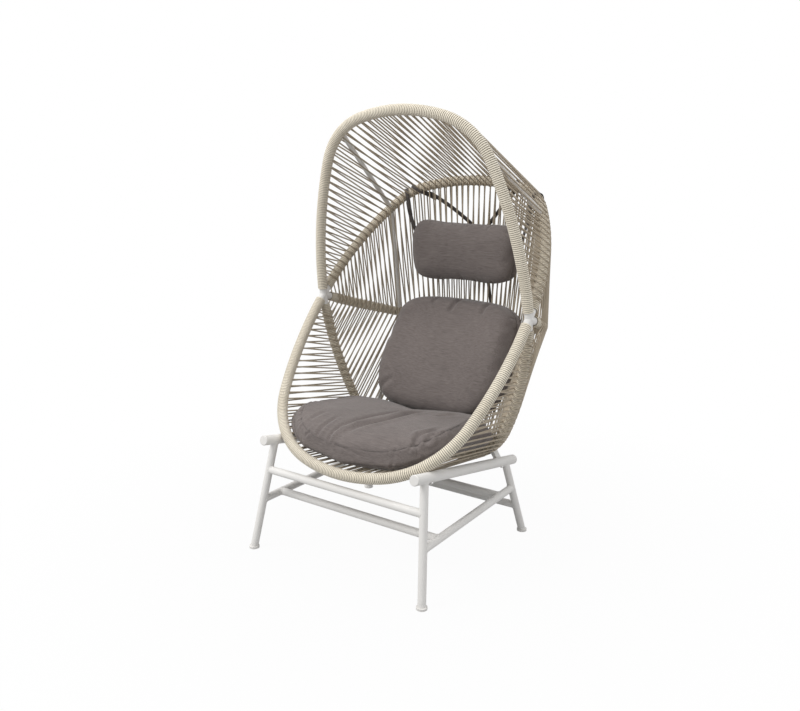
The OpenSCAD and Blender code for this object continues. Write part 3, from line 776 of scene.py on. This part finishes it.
# The seat's middle down its panel, and its halves across and down, as shares of the panel
SEAT_MIDDLE, SEAT_ACROSS, SEAT_DOWN = 0.505, 0.240, 0.46
# The back cushion's reach below and above the belt hoop, and where it bends over the hoop
BACK_DROP, BACK_RISE, BACK_BEND = 385 * MM, 92 * MM, 80 * MM
BACK_ACROSS, BACK_TAPER = 0.268, 0.06
# The headrest's middle above the belt hoop, its half height, and how far its ends curve forward
HEAD_UP, HEAD_HALF, HEAD_CURVE = 0.272, 0.098, 7.3 * MM
HEAD_ACROSS = 0.176


def seat_place(u, v, lift):
    return on_panel(REAR, FRONT, 0.5 - SEAT_ACROSS * u, SEAT_MIDDLE + SEAT_DOWN * v, FACE + lift)[0]


def back_leg(across, q, lift):
    if q < 0:
        return on_panel(BELT, REAR, across, -q / panel_drop(BELT, REAR), lift)[0]
    return on_panel(ARCH, BELT, across, 1 - q / panel_drop(ARCH, BELT), lift)[0]


def back_place(u, v, lift):
    q = (BACK_RISE - BACK_DROP) / 2 + (BACK_RISE + BACK_DROP) / 2 * v
    across = 0.5 - BACK_ACROSS * (1 - BACK_TAPER * (1 - v)) * u
    if abs(q) >= BACK_BEND:
        return back_leg(across, q, FACE + lift)
    p, heading = on_hoop(BELT, along(BELT, across))
    low = lift_way(heading, on_hoop(REAR, along(REAR, across))[0] - p)
    high = lift_way(heading, p - on_hoop(ARCH, along(ARCH, across))[0])
    w = (q + BACK_BEND) / (2 * BACK_BEND)
    bend = p + (FACE + lift) * (low + high) / (1 + low @ high)
    below, above = (back_leg(across, end, FACE + lift) for end in (-BACK_BEND, BACK_BEND))
    return (1 - w) ** 2 * below + 2 * w * (1 - w) * bend + w * w * above


def head_place(u, v, lift):
    down = 1 - (HEAD_UP + HEAD_HALF * v) / panel_drop(ARCH, BELT)
    return on_panel(ARCH, BELT, 0.5 - HEAD_ACROSS * u, down, FACE + HEAD_CURVE * u * u + lift)[0]


# How square each outline is, its border's height, its crown's rise and its place
SEAT_PAD = Pad(0.42, lambda u, v: 66 * MM * (1.3 - 0.3 * v) * (1 - 0.32 * u * u), 46 * MM, seat_place)
BACK_PAD = Pad(0.50, lambda u, v: 74 * MM, 36 * MM, back_place)
HEAD_PAD = Pad(0.48, lambda u, v: 52 * MM, 38 * MM, head_place)

# Which ends of a fold fade out
START_FADES, END_FADES, BOTH_FADE, NONE_FADES = (True, False), (False, True), (True, True), (False, False)


class Skin:
    """The skin of a stuffed piece, pressed and lifted along lines until it is given back."""

    def __init__(self, obj, pad):
        self.obj, self.pad = obj, pad
        self.read()

    def read(self):
        mesh = self.obj.data
        self.points = rows(mesh.vertices, "co")
        self.normals = rows(mesh.vertex_normals, "vector")
        self.tree = BVHTree.FromPolygons([Vector(p) for p in self.points],
                                         [tuple(p.vertices) for p in mesh.polygons])

    def write(self):
        self.obj.data.vertices.foreach_set("co", self.points.ravel())
        self.obj.data.update()
        self.read()

    def settle(self, path, lift=0.0):
        """A path laid onto the skin."""
        spots = [self.tree.find_nearest(Vector(p))[:2] for p in path]
        return np.array([np.array(spot) + lift * np.array(normal) for spot, normal in spots])

    def press(self, path, depth, width, ridge=0.0, side=0, fades=NONE_FADES):
        """Presses a valley along a path, with a ridge beside it on one side or on both."""
        path = self.settle(path)
        best = np.full(len(self.points), np.inf)
        share = np.zeros(len(self.points))
        lean = np.zeros(len(self.points))
        steps = len(path) - 1
        for k in range(steps):
            a, way = path[k], path[k + 1] - path[k]
            off = self.points - a
            t = np.clip(off @ way / max(way @ way, 1e-12), 0, 1)
            gap = off - t[:, None] * way
            d = np.linalg.norm(gap, axis=1)
            near = d < best
            best[near] = d[near]
            share[near] = (k + t[near]) / steps
            lean[near] = np.sign(np.einsum("ij,ij->i", np.cross(way, gap)[near], self.normals[near]))
        hold = np.ones(len(best))
        for fade, left in zip(fades, (share, 1 - share)):
            if fade:
                hold *= np.clip(left / 0.35, 0, 1)
        hold = hold * hold * (3 - 2 * hold)
        valley = np.exp(-(best / width) ** 2)
        bank = np.exp(-((best - 1.9 * width) / (1.1 * width)) ** 2)
        if side:
            bank = bank * (lean == side)
        self.points += self.normals * (hold * (ridge * bank - depth * valley))[:, None]

    def fold(self, marks, depth, width, ridge=0.0, side=0, fades=BOTH_FADE):
        """Presses a fold through marked places of the crown; its sizes are in millimetres."""
        self.press(crown_line(self.pad, marks), depth * MM, width * MM, ridge * MM, side, fades)

    def seam(self, path, depth, width):
        """A shallow groove all along a closed seam; its sizes are in millimetres."""
        self.press(list(path) + [path[0]], depth * MM, width * MM)

    def gathers(self, angles, seed, high, low, depth=2.0):
        """Short puckers that run along the border from a seam; depth is in millimetres."""
        rng = np.random.default_rng(seed)
        for a in angles:
            a += rng.uniform(-2.5, 2.5)
            lean = rng.uniform(-2.5, 2.5)
            top = high(a)
            reach = low + (top - low) * rng.uniform(0, 0.45)
            path = [self.pad.rim(a + lean * t, top + (reach - top) * t) for t in np.linspace(0, 1, 5)]
            self.press(path, depth * MM * rng.uniform(0.6, 1.2), 5 * MM, depth * MM * 0.4, fades=END_FADES)

    def crumple(self, amount, size, seed):
        """Slow unevenness, as loose filling gives."""
        shift = Vector((seed * 3.7, seed * 1.3, seed * 2.1))
        waves = np.array([noise.noise(Vector(p) / size + shift) for p in self.points])
        self.points += self.normals * (amount * waves)[:, None]
        self.write()


def filled(node, name, cell, grow, lean, up, spread, shift, rounding):
    """A stuffed copy of a CAD cushion: remeshed, blown up as cloth, and smoothed once.

    Grow gives how far a place of the skin is let out, and lean how far it is moved across and
    up. As cloth, no point moves further than a cell.
    """
    low, high = (np.array(c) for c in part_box(node))
    mesh = NODES[node].data.copy()
    bm = bmesh.new()
    bm.from_mesh(mesh)
    bmesh.ops.remove_doubles(bm, verts=bm.verts, dist=1e-5)
    bmesh.ops.recalc_face_normals(bm, faces=bm.faces)
    for v in bm.verts:
        # the skin that lies on the cords isn't let out
        free = min(max((v.normal.dot(Vector(up)) + 0.8) / 0.5, 0), 1)
        share = (np.array(v.co) - low) / (high - low) * 2 - 1
        v.co += v.normal * grow(*share) * free
        v.co.x = v.co.x * spread + shift
        aside, rise = lean(*share)
        v.co.x += aside
        v.co.z += rise
    bm.to_mesh(mesh)
    bm.free()
    obj = in_scene(name, mesh)
    mod = obj.modifiers.new("skin", "REMESH")
    mod.mode = "VOXEL"
    mod.voxel_size = cell
    bake(obj)
    blow_up(obj, cell)
    mod = obj.modifiers.new("rounded", "SMOOTH")
    mod.factor = 0.5
    mod.iterations = rounding
    mod = obj.modifiers.new("soft", "SUBSURF")
    mod.levels = mod.render_levels = 1
    bake(obj)
    smooth(obj.data)
    return obj


# The cushions' skin as cloth: it stretches a little, and the filling presses from inside
FILLING = dict(quality=5, mass=0.3, tension_stiffness=12, compression_stiffness=12, shear_stiffness=5,
               bending_stiffness=0.6, shrink_min=-0.02, shrink_max=-0.02, use_pressure=True,
               uniform_pressure_force=4.0)


def blow_up(obj, cap):
    """Lets the filling press a cushion's skin out as cloth, each point by the cap at most."""
    start = rows(obj.data.vertices, "co")
    mod = obj.modifiers.new("fill", "CLOTH")
    for key, value in FILLING.items():
        setattr(mod.settings, key, value)
    mod.settings.effector_weights.gravity = 0
    mod.collision_settings.use_self_collision = False
    for step in range(1, 21):
        bpy.context.scene.frame_set(step)
    bake(obj)
    bpy.context.scene.frame_set(1)
    move = rows(obj.data.vertices, "co") - start
    far = np.linalg.norm(move, axis=1)
    keep = np.minimum(1, cap / np.maximum(far, 1e-9))
    obj.data.vertices.foreach_set("co", (start + move * keep[:, None]).ravel())


def soft_piece(obj, node, body):
    cloth.give(obj)
    declare(obj, body, node)


def seam_line(name, skin, path, body, radius):
    """The sewn edge of a cushion, laid on its skin."""
    lay_cord(name, skin.settle(path, 0.1 * MM), piping, body, "cushion_cloth", closed=True,
             Radius=radius, Sides=6)


def crown_line(pad, marks):
    """A smooth line over a cushion's crown through marked places."""
    marks = np.array(marks, dtype=float)
    n, steps = len(marks), 6
    out = []
    for k in range(n - 1):
        before, after = marks[max(k - 1, 0)], marks[min(k + 2, n - 1)]
        for i in range(steps + (k == n - 2)):
            t = i / steps
            p = marks[k] * (1 - t) + marks[k + 1] * t
            pull = (marks[k] - before - after + marks[k + 1]) * t * (1 - t) * 0.5
            out.append(pad.top(*np.clip(p + pull, -0.99, 0.99)))
    return out


def level(share):
    """The same share of a border's height at every angle."""
    return lambda angle: share


def upper_share(angle):
    """How high on the seat's border its upper seam runs; it dips on the left."""
    return 0.87 - 0.2 * max(-math.cos(math.radians(angle)), 0)


def seat_grow(x, y, z):
    """The seat is let out at its front edge, and most at its back corners."""
    corner = (38 if x > 0 else 22) * abs(x) * max(y, 0)
    return (1 - 9 * y - 5 * x * x + corner) * MM


def seat_lean(x, y, z):
    """The left side of the seat lies lower."""
    return 0.0, -6 * max(-x, 0) ** 2 * (z + 1) * MM


def make_seat():
    obj = filled("seat_cushion", "seat_pad", 6 * MM, seat_grow, seat_lean, up=(0, -0.25, 0.97),
                 spread=1.095, shift=-8 * MM, rounding=3)
    skin = Skin(obj, SEAT_PAD)
    skin.crumple(2.2 * MM, 0.11, 1)
    # long folds that run over the crown from the back edge to the front one
    skin.fold([(0.16, -0.62), (0.07, -0.38), (-0.01, 0.03), (-0.10, 0.34), (-0.19, 0.73), (-0.28, 0.97)],
              9.0, 12, 4.5, side=1)
    skin.fold([(0.30, -0.52), (0.26, -0.29), (0.20, -0.06), (0.15, 0.30), (-0.02, 0.68), (-0.11, 0.95)],
              8.0, 11, 3.5)
    skin.fold([(-0.36, 0.60), (-0.36, 0.78), (-0.35, 0.97)], 3.0, 7, 1.5, fades=START_FADES)
    skin.fold([(-0.20, 0.74), (-0.205, 0.86), (-0.20, 0.97)], 3.2, 6, 1.8, fades=START_FADES)
    skin.fold([(-0.60, 0.60), (-0.61, 0.78), (-0.60, 0.95)], 2.5, 8, 1.2)
    # pinched cloth at the front right corner
    skin.fold([(0.89, 0.34), (0.85, 0.66), (0.76, 0.76), (0.73, 0.95)], 6.5, 9, 3.5, side=-1,
              fades=START_FADES)
    skin.fold([(0.92, 0.72), (0.86, 0.84), (0.85, 0.92)], 5.0, 8, 2.5, fades=START_FADES)
    skin.fold([(0.80, -0.55), (0.62, -0.30), (0.48, -0.22)], 4.0, 12, 1.5)
    skin.write()
    upper, lower = SEAT_PAD.around(upper_share), SEAT_PAD.around(level(0.10))
    skin.seam(upper, 1.5, 4)
    skin.seam(lower, 1.5, 4)
    skin.gathers([22, 40, 55, 66, 78, 90, 99, 108, 118, 127, 136, 150, 170, 200, 230, 262, 300, 330],
                 5, upper_share, 0.45, 2.4)
    skin.gathers([30, 57, 80, 104, 128, 160, 210, 245, 290, 320], 6, level(0.10), 0.42)
    skin.write()
    soft_piece(obj, "seat_cushion", ROOT)
    seam_line("seat_seam_upper", skin, upper, ROOT, 0.9 * MM)
    seam_line("seat_seam_lower", skin, lower, ROOT, 0.9 * MM)


def back_grow(x, y, z):
    """The back cushion is fullest at the middle of its top."""
    return (8 + 4 * (1 - 2.6 * x * x) * max(z, 0)) * MM


def back_lean(x, y, z):
    """The lower corners of the back cushion stand out, the left one most."""
    if z > 0:
        return 0.0, -4 * max(x, 0) * z * MM
    reach = (32 if x < 0 else 8) * (x * z) ** 2 * MM
    return math.copysign(reach, x), -reach


def make_back():
    obj = filled("back_cushion", "back_pad", 6 * MM, back_grow, back_lean, up=(0, -0.99, 0.1),
                 spread=1.01, shift=3 * MM, rounding=14)
    skin = Skin(obj, BACK_PAD)
    skin.crumple(2.0 * MM, 0.12, 2)
    # darts that pull in the top edge, and a fold at each lower corner
    skin.fold([(-0.04, 0.99), (-0.07, 0.90), (-0.13, 0.66)], 7.0, 9, 1.5, fades=END_FADES)
    skin.fold([(0.42, 0.99), (0.45, 0.90), (0.49, 0.70)], 6.5, 9, 1.5, fades=END_FADES)
    skin.fold([(-0.35, 0.99), (-0.38, 0.94), (-0.42, 0.84)], 4.0, 8, 1.0, fades=END_FADES)
    skin.fold([(-0.80, -0.94), (-0.70, -0.78), (-0.60, -0.70)], 3.5, 10, 1.5, fades=END_FADES)
    skin.fold([(0.72, -0.95), (0.66, -0.80), (0.55, -0.66)], 3.5, 10, 1.5, fades=END_FADES)
    skin.write()
    middle = level(0.36)
    seam = BACK_PAD.around(middle)
    skin.seam(seam, 2.2, 5)
    skin.gathers([12, 35, 150, 172, 200, 226, 248, 270, 292, 316, 345], 7, middle, 0.75)
    skin.gathers([5, 28, 60, 95, 130, 165, 190, 220, 255, 285, 320], 8, middle, 0.08)
    skin.write()
    soft_piece(obj, "back_cushion", ROOT)
    seam_line("back_seam", skin, seam, ROOT, 1.1 * MM)


def head_grow(x, y, z):
    """The headrest is let out evenly."""
    return 6 * MM


def head_lean(x, y, z):
    """The headrest's upper corners are nearly square, the lower ones rounder."""
    square, middle = (x * z) ** 4, 1 - x * x
    if z > 0:
        aside, rise = 72 * square, (100 if x < 0 else 50) * square - 4.5 * middle * z
    else:
        aside, rise = 30 * square, 4 * middle * z - (36 if x < 0 else 0) * square
    return math.copysign(aside, x) * MM, rise * MM


def make_headrest():
    obj = filled("headrest", "head_pad", 5 * MM, head_grow, head_lean, up=(0, -0.99, -0.1),
                 spread=1.02, shift=0.0, rounding=6)
    skin = Skin(obj, HEAD_PAD)
    skin.crumple(1.4 * MM, 0.09, 3)
    edge = HEAD_PAD.around(level(0.50))
    skin.seam(edge, 2.0, 5)
    # short puckers at the seam, by their place across, their edge and how far they reach in
    for u, v, reach in ((-0.62, 1, 0.14), (-0.2, 1, 0.10), (0.1, 1, 0.12), (0.52, 1, 0.16),
                        (-0.5, -1, 0.12), (0.0, -1, 0.10), (0.3, -1, 0.13), (0.7, -1, 0.14)):
        marks = [(u, v * 0.99), (u * 0.98, v * (1 - 0.6 * reach)), (u * 0.95, v * (1 - 1.4 * reach))]
        skin.fold(marks, 1.8, 4.5, 0.6, fades=END_FADES)
    for u in (0.93, -0.93):
        skin.fold([(u, 0.92), (0.96 * u, 0.86), (0.9 * u, 0.80)], 3.5, 7, fades=END_FADES)
    skin.write()
    soft_piece(obj, "headrest", "headrest")
    seam_line("headrest_seam", skin, edge, "headrest", 1.3 * MM)


make_seat()
make_back()
make_headrest()


# Straps

STRAP_W = 14 * MM
STRAP_T = 1.6 * MM
STRAP_STEPS = 24


def strap_piece(name, path, facing):
    """Flat webbing along a path; facing gives the direction of its face at each point."""
    path = np.asarray(path, dtype=float)
    before, after = np.roll(path, 1, axis=0), np.roll(path, -1, axis=0)
    before[0], after[-1] = path[0], path[-1]
    ways = after - before
    ways /= np.linalg.norm(ways, axis=1)[:, None]
    half, thin = STRAP_W / 2, STRAP_T / 2
    flat, lip = half * 0.93, thin * 0.35
    edge = [(-half, -lip), (-flat, -thin), (flat, -thin), (half, -lip)]
    edge += [(-x, -y) for x, y in edge]
    sides, rings = len(edge), len(path)
    spread = [x / STRAP_W for x, _ in edge + edge[:1]]
    length = np.concatenate([[0], np.cumsum(np.linalg.norm(np.diff(path, axis=0), axis=1))])
    verts, faces, uv = [], [], []
    for i, (place, way, face) in enumerate(zip(path, ways, facing)):
        face = unit(face - way * np.dot(face, way))
        wide = np.cross(way, face)
        verts += [tuple(place + wide * a + face * b) for a, b in edge]
        if i + 1 == rings:
            break
        for j in range(sides):
            one, two = i * sides + j, i * sides + (j + 1) % sides
            faces.append((one, two, two + sides, one + sides))
            uv += [(length[k], spread[m]) for k, m in ((i, j), (i, j + 1), (i + 1, j + 1), (i + 1, j))]
    faces += [tuple(reversed(range(sides))), tuple(range((rings - 1) * sides, rings * sides))]
    uv += [(0, 0)] * (2 * sides)
    mesh = bpy.data.meshes.new(name)
    mesh.from_pydata(verts, [], faces)
    mesh.uv_layers.new(name="run").data.foreach_set("uv", np.asarray(uv, dtype=np.float32).ravel())
    smooth(mesh)
    mesh.update()
    obj = outward(in_scene(name, mesh))
    webbing.give(obj)
    return obj


def strap_run(name, start, end, face, node, begin=0.14, bend=1.0):
    """Webbing on one face of the back cords, along a line, from a share of it onwards.

    With bend above 1 it first runs straight down, and turns aside towards its end.
    """
    path, facing = [], []
    for i in range(STRAP_STEPS + 1):
        t = begin + (1 - begin) * i / STRAP_STEPS
        across = start[0] + (end[0] - start[0]) * t ** bend
        down = start[1] + (end[1] - start[1]) * t
        place, away = on_panel(ARCH, BELT, across, down, face * (FACE + STRAP_T / 2))
        path.append(place)
        facing.append(away * face)
    obj = strap_piece(name, path, facing)
    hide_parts(node)
    return obj, path


# How far below the hoop a turned strap lies, in mm, and its share of the way out to its face
TURN_BACK = ((10, -0.97), (20, -0.8), (30, -0.35), (38, 0.25), (46, 0.75), (56, 0.86), (74, 0.86))
# The same for the end sewn onto the strap, with its height over the strap in straps' thicknesses
TURN_END = ((70, 1.5), (45, 1.5), (24, 1.3))


def strap_loop(name, across, face, strap):
    """The webbing's turn over the arch hoop, sewn back onto the strap below it."""
    p, heading = on_hoop(ARCH, along(ARCH, across))
    q = on_hoop(BELT, along(BELT, across))[0]
    lift = lift_way(heading, q - p) * face
    way = strap[6] - strap[0]
    way = unit(way - lift * (way @ lift))
    slant = 1 / max(abs(way @ lift_way(heading, lift)), 0.5)
    loop = INNER_LOOP + STRUNG_R + STRAP_T / 2 + 0.4 * MM
    path = [p + way * down * MM + lift * (FACE + STRAP_T * over) for down, over in TURN_END]
    facing = [lift] * len(path)
    for ang in np.linspace(0, math.pi, 15):
        path.append(p + loop * (math.cos(ang) * lift - slant * math.sin(ang) * way))
        facing.append(math.cos(ang) * lift - math.sin(ang) * way)
    for down, share in TURN_BACK:
        path.append(p + way * down * MM + lift * share * loop)
        facing.append(-lift)
    declare(strap_piece(name, path, facing), ROOT)
    stitches(name + "_stitches", p, way, lift)


def stitch_tree():
    """Short thread stitches set one after another along a path."""
    t = Tree("stitches_along_path", Pitch="Float", Length="Float", Thread="Float")
    spots = t.spots()
    size = t.node("ShaderNodeCombineXYZ", X=t.take("Thread"), Y=t.take("Thread"), Z=t.take("Length"))
    bar = t.node("SubdivisionSurface", Mesh=t.node("MeshCube", Size=size), Level=1)
    t.finish(t.node("InstanceOnPoints", Points=spots.outputs["Points"], Instance=bar,
                    Rotation=spots.outputs["Rotation"]))
    return t


def stitches(name, p, way, lift):
    """A box of stitches with a cross, which holds a strap's turned end."""
    side = np.cross(way, lift)
    high, low, half = 54 * MM, 70 * MM, STRAP_W * 0.36
    box = ((high, -half), (high, half), (low, half), (low, -half))
    cross = ((high, -half), (low, half), (low, -half), (high, half))
    corners = [p + way * d + side * w + lift * (FACE + STRAP_T * 2 + 0.3 * MM) for d, w in box + cross]
    obj = sewn.on(name, corners, thread, Pitch=2.6 * MM, Length=1.9 * MM, Thread=0.7 * MM)
    declare(obj, ROOT)


# Places on the back panel, by their shares across it and down it
HANG_TOP, HANG_END = (0.304, 0.0), (0.337, 0.40)
STAY_TOPS = {"left": (0.664, 0.0), "right": (0.387, 0.0)}
STAY_MEET = (0.490, 0.366)
# The tail starts a strap's width, 14 mm, below the stays' meeting; the panel is 513.4 mm long
TAIL_TOP, TAIL_END = (STAY_MEET[0], STAY_MEET[1] + 14 / 513.4), (0.447, 0.92)

sewn = stitch_tree()
for word in ("right", "left"):
    top, end = ((1 - x if word == "left" else x, down) for x, down in (HANG_TOP, HANG_END))
    obj, path = strap_run("hang_strap_" + word, top, end, 1, "headrest_strap_" + word, bend=2.2)
    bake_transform(obj)
    strap_loop("hang_loop_" + word, top[0], 1, path)

for word, top in STAY_TOPS.items():
    # the right stay stops short of the left one, which runs on into the tail
    short = 0.15 if word == "right" else 0.0
    end = tuple(m + short * (t - m) for m, t in zip(STAY_MEET, top))
    obj, path = strap_run("stay_" + word, top, end, -1, "stay_strap_" + word)
    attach(obj, ROOT)
    strap_loop("stay_loop_" + word, top[0], -1, path)
obj, path = strap_run("stay_tail", TAIL_TOP, TAIL_END, -1, "stay_strap_tail", begin=0.0)
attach(obj, ROOT)


# Floor, light and camera

def directly_seen(tree):
    """1 for what the camera sees itself, through glass or in a reflection, 0 for the light."""
    rays = add_node(tree, "ShaderNodeLightPath").outputs
    own, glossy, through = (Val(tree, rays[f"Is {k} Ray"]) for k in ("Camera", "Glossy", "Transmission"))
    return own.math("MAXIMUM", glossy).math("MAXIMUM", through)


def dress_stage(tree, light, seen, output, share):
    """Gives a floor or a world one shader for the light and another for the eye."""
    mix = add_node(tree, "ShaderNodeMixShader", i0=share, i1=light.outputs[0], i2=seen.outputs[0])
    add_node(tree, "ShaderNodeOutput" + output, Surface=mix.outputs[0])


def lamp(name, spot, aim, size, power):
    data = bpy.data.lights.new(name, "AREA")
    data.shape = "RECTANGLE"
    data.size, data.size_y = size
    data.energy = power
    obj = in_scene(name, data)
    obj.location = spot
    obj.rotation_euler = (Vector(aim) - Vector(spot)).to_track_quat("-Z", "Y").to_euler()


def studio():
    mesh = bpy.data.meshes.new("floor")
    mesh.from_pydata([(-30, -30, 0), (30, -30, 0), (30, 30, 0), (-30, 30, 0)], [], [(0, 1, 2, 3)])
    in_scene("floor", mesh)
    mat = bpy.data.materials.new("floor")
    mesh.materials.append(mat)
    mat.use_nodes = True
    tree = mat.node_tree
    tree.nodes.clear()
    pale = add_node(tree, "ShaderNodeBsdfDiffuse", Color=(0.45, 0.45, 0.45, 1))
    white = add_node(tree, "ShaderNodeEmission", Color=(1, 1, 1, 1))
    place = add_node(tree, "ShaderNodeTexCoord").outputs["Object"]
    away = add_node(tree, "ShaderNodeVectorMath", {"operation": "LENGTH"}, i0=place).outputs["Value"]
    fade = add_node(tree, "ShaderNodeMapRange", Value=away, From_Min=0.5, From_Max=1.5, To_Min=0.965,
                    To_Max=1.0)
    dress_stage(tree, pale, white, "Material", directly_seen(tree) * Val(tree, fade.outputs["Result"]))

    world = bpy.data.worlds.new("studio")
    bpy.context.scene.world = world
    world.use_nodes = True
    tree = world.node_tree
    tree.nodes.clear()
    sky = add_node(tree, "ShaderNodeBackground", Color=(0.95, 0.97, 1.0, 1), Strength=0.51)
    white = add_node(tree, "ShaderNodeBackground", Color=(1, 1, 1, 1), Strength=1.0)
    dress_stage(tree, sky, white, "World", directly_seen(tree))

    lamp("key", (-2.1, -3.1, 3.6), (0, 0, 0.7), (2.6, 2.2), 162)
    lamp("side", (3.2, -0.5, 1.9), (0, 0, 0.8), (2.0, 2.4), 24)
    lamp("top", (0.2, 0.6, 4.0), (0, 0, 0.7), (3.0, 3.0), 62)


def camera():
    """The photograph's view, fitted to points of the chair; its focal length is in pixels."""
    azimuth, height, distance = math.radians(35.15), math.radians(13.69), 2.6037
    focal, frame_width = 823.65, 800
    flat = math.cos(height)
    back_way = Vector((math.sin(azimuth) * flat, -math.cos(azimuth) * flat, math.sin(height)))
    data = bpy.data.cameras.new("view")
    data.sensor_fit = "HORIZONTAL"
    data.sensor_width = 36
    data.lens = focal / frame_width * data.sensor_width
    data.clip_end = 200
    obj = in_scene("view", data)
    obj.location = Vector((0.0309, -SHIFT_Y * MM, 0.6343)) + back_way * distance
    obj.rotation_euler = (-back_way).to_track_quat("-Z", "Y").to_euler()
    bpy.context.scene.camera = obj


studio()
camera()
bpy.context.scene.view_settings.view_transform = "Standard"
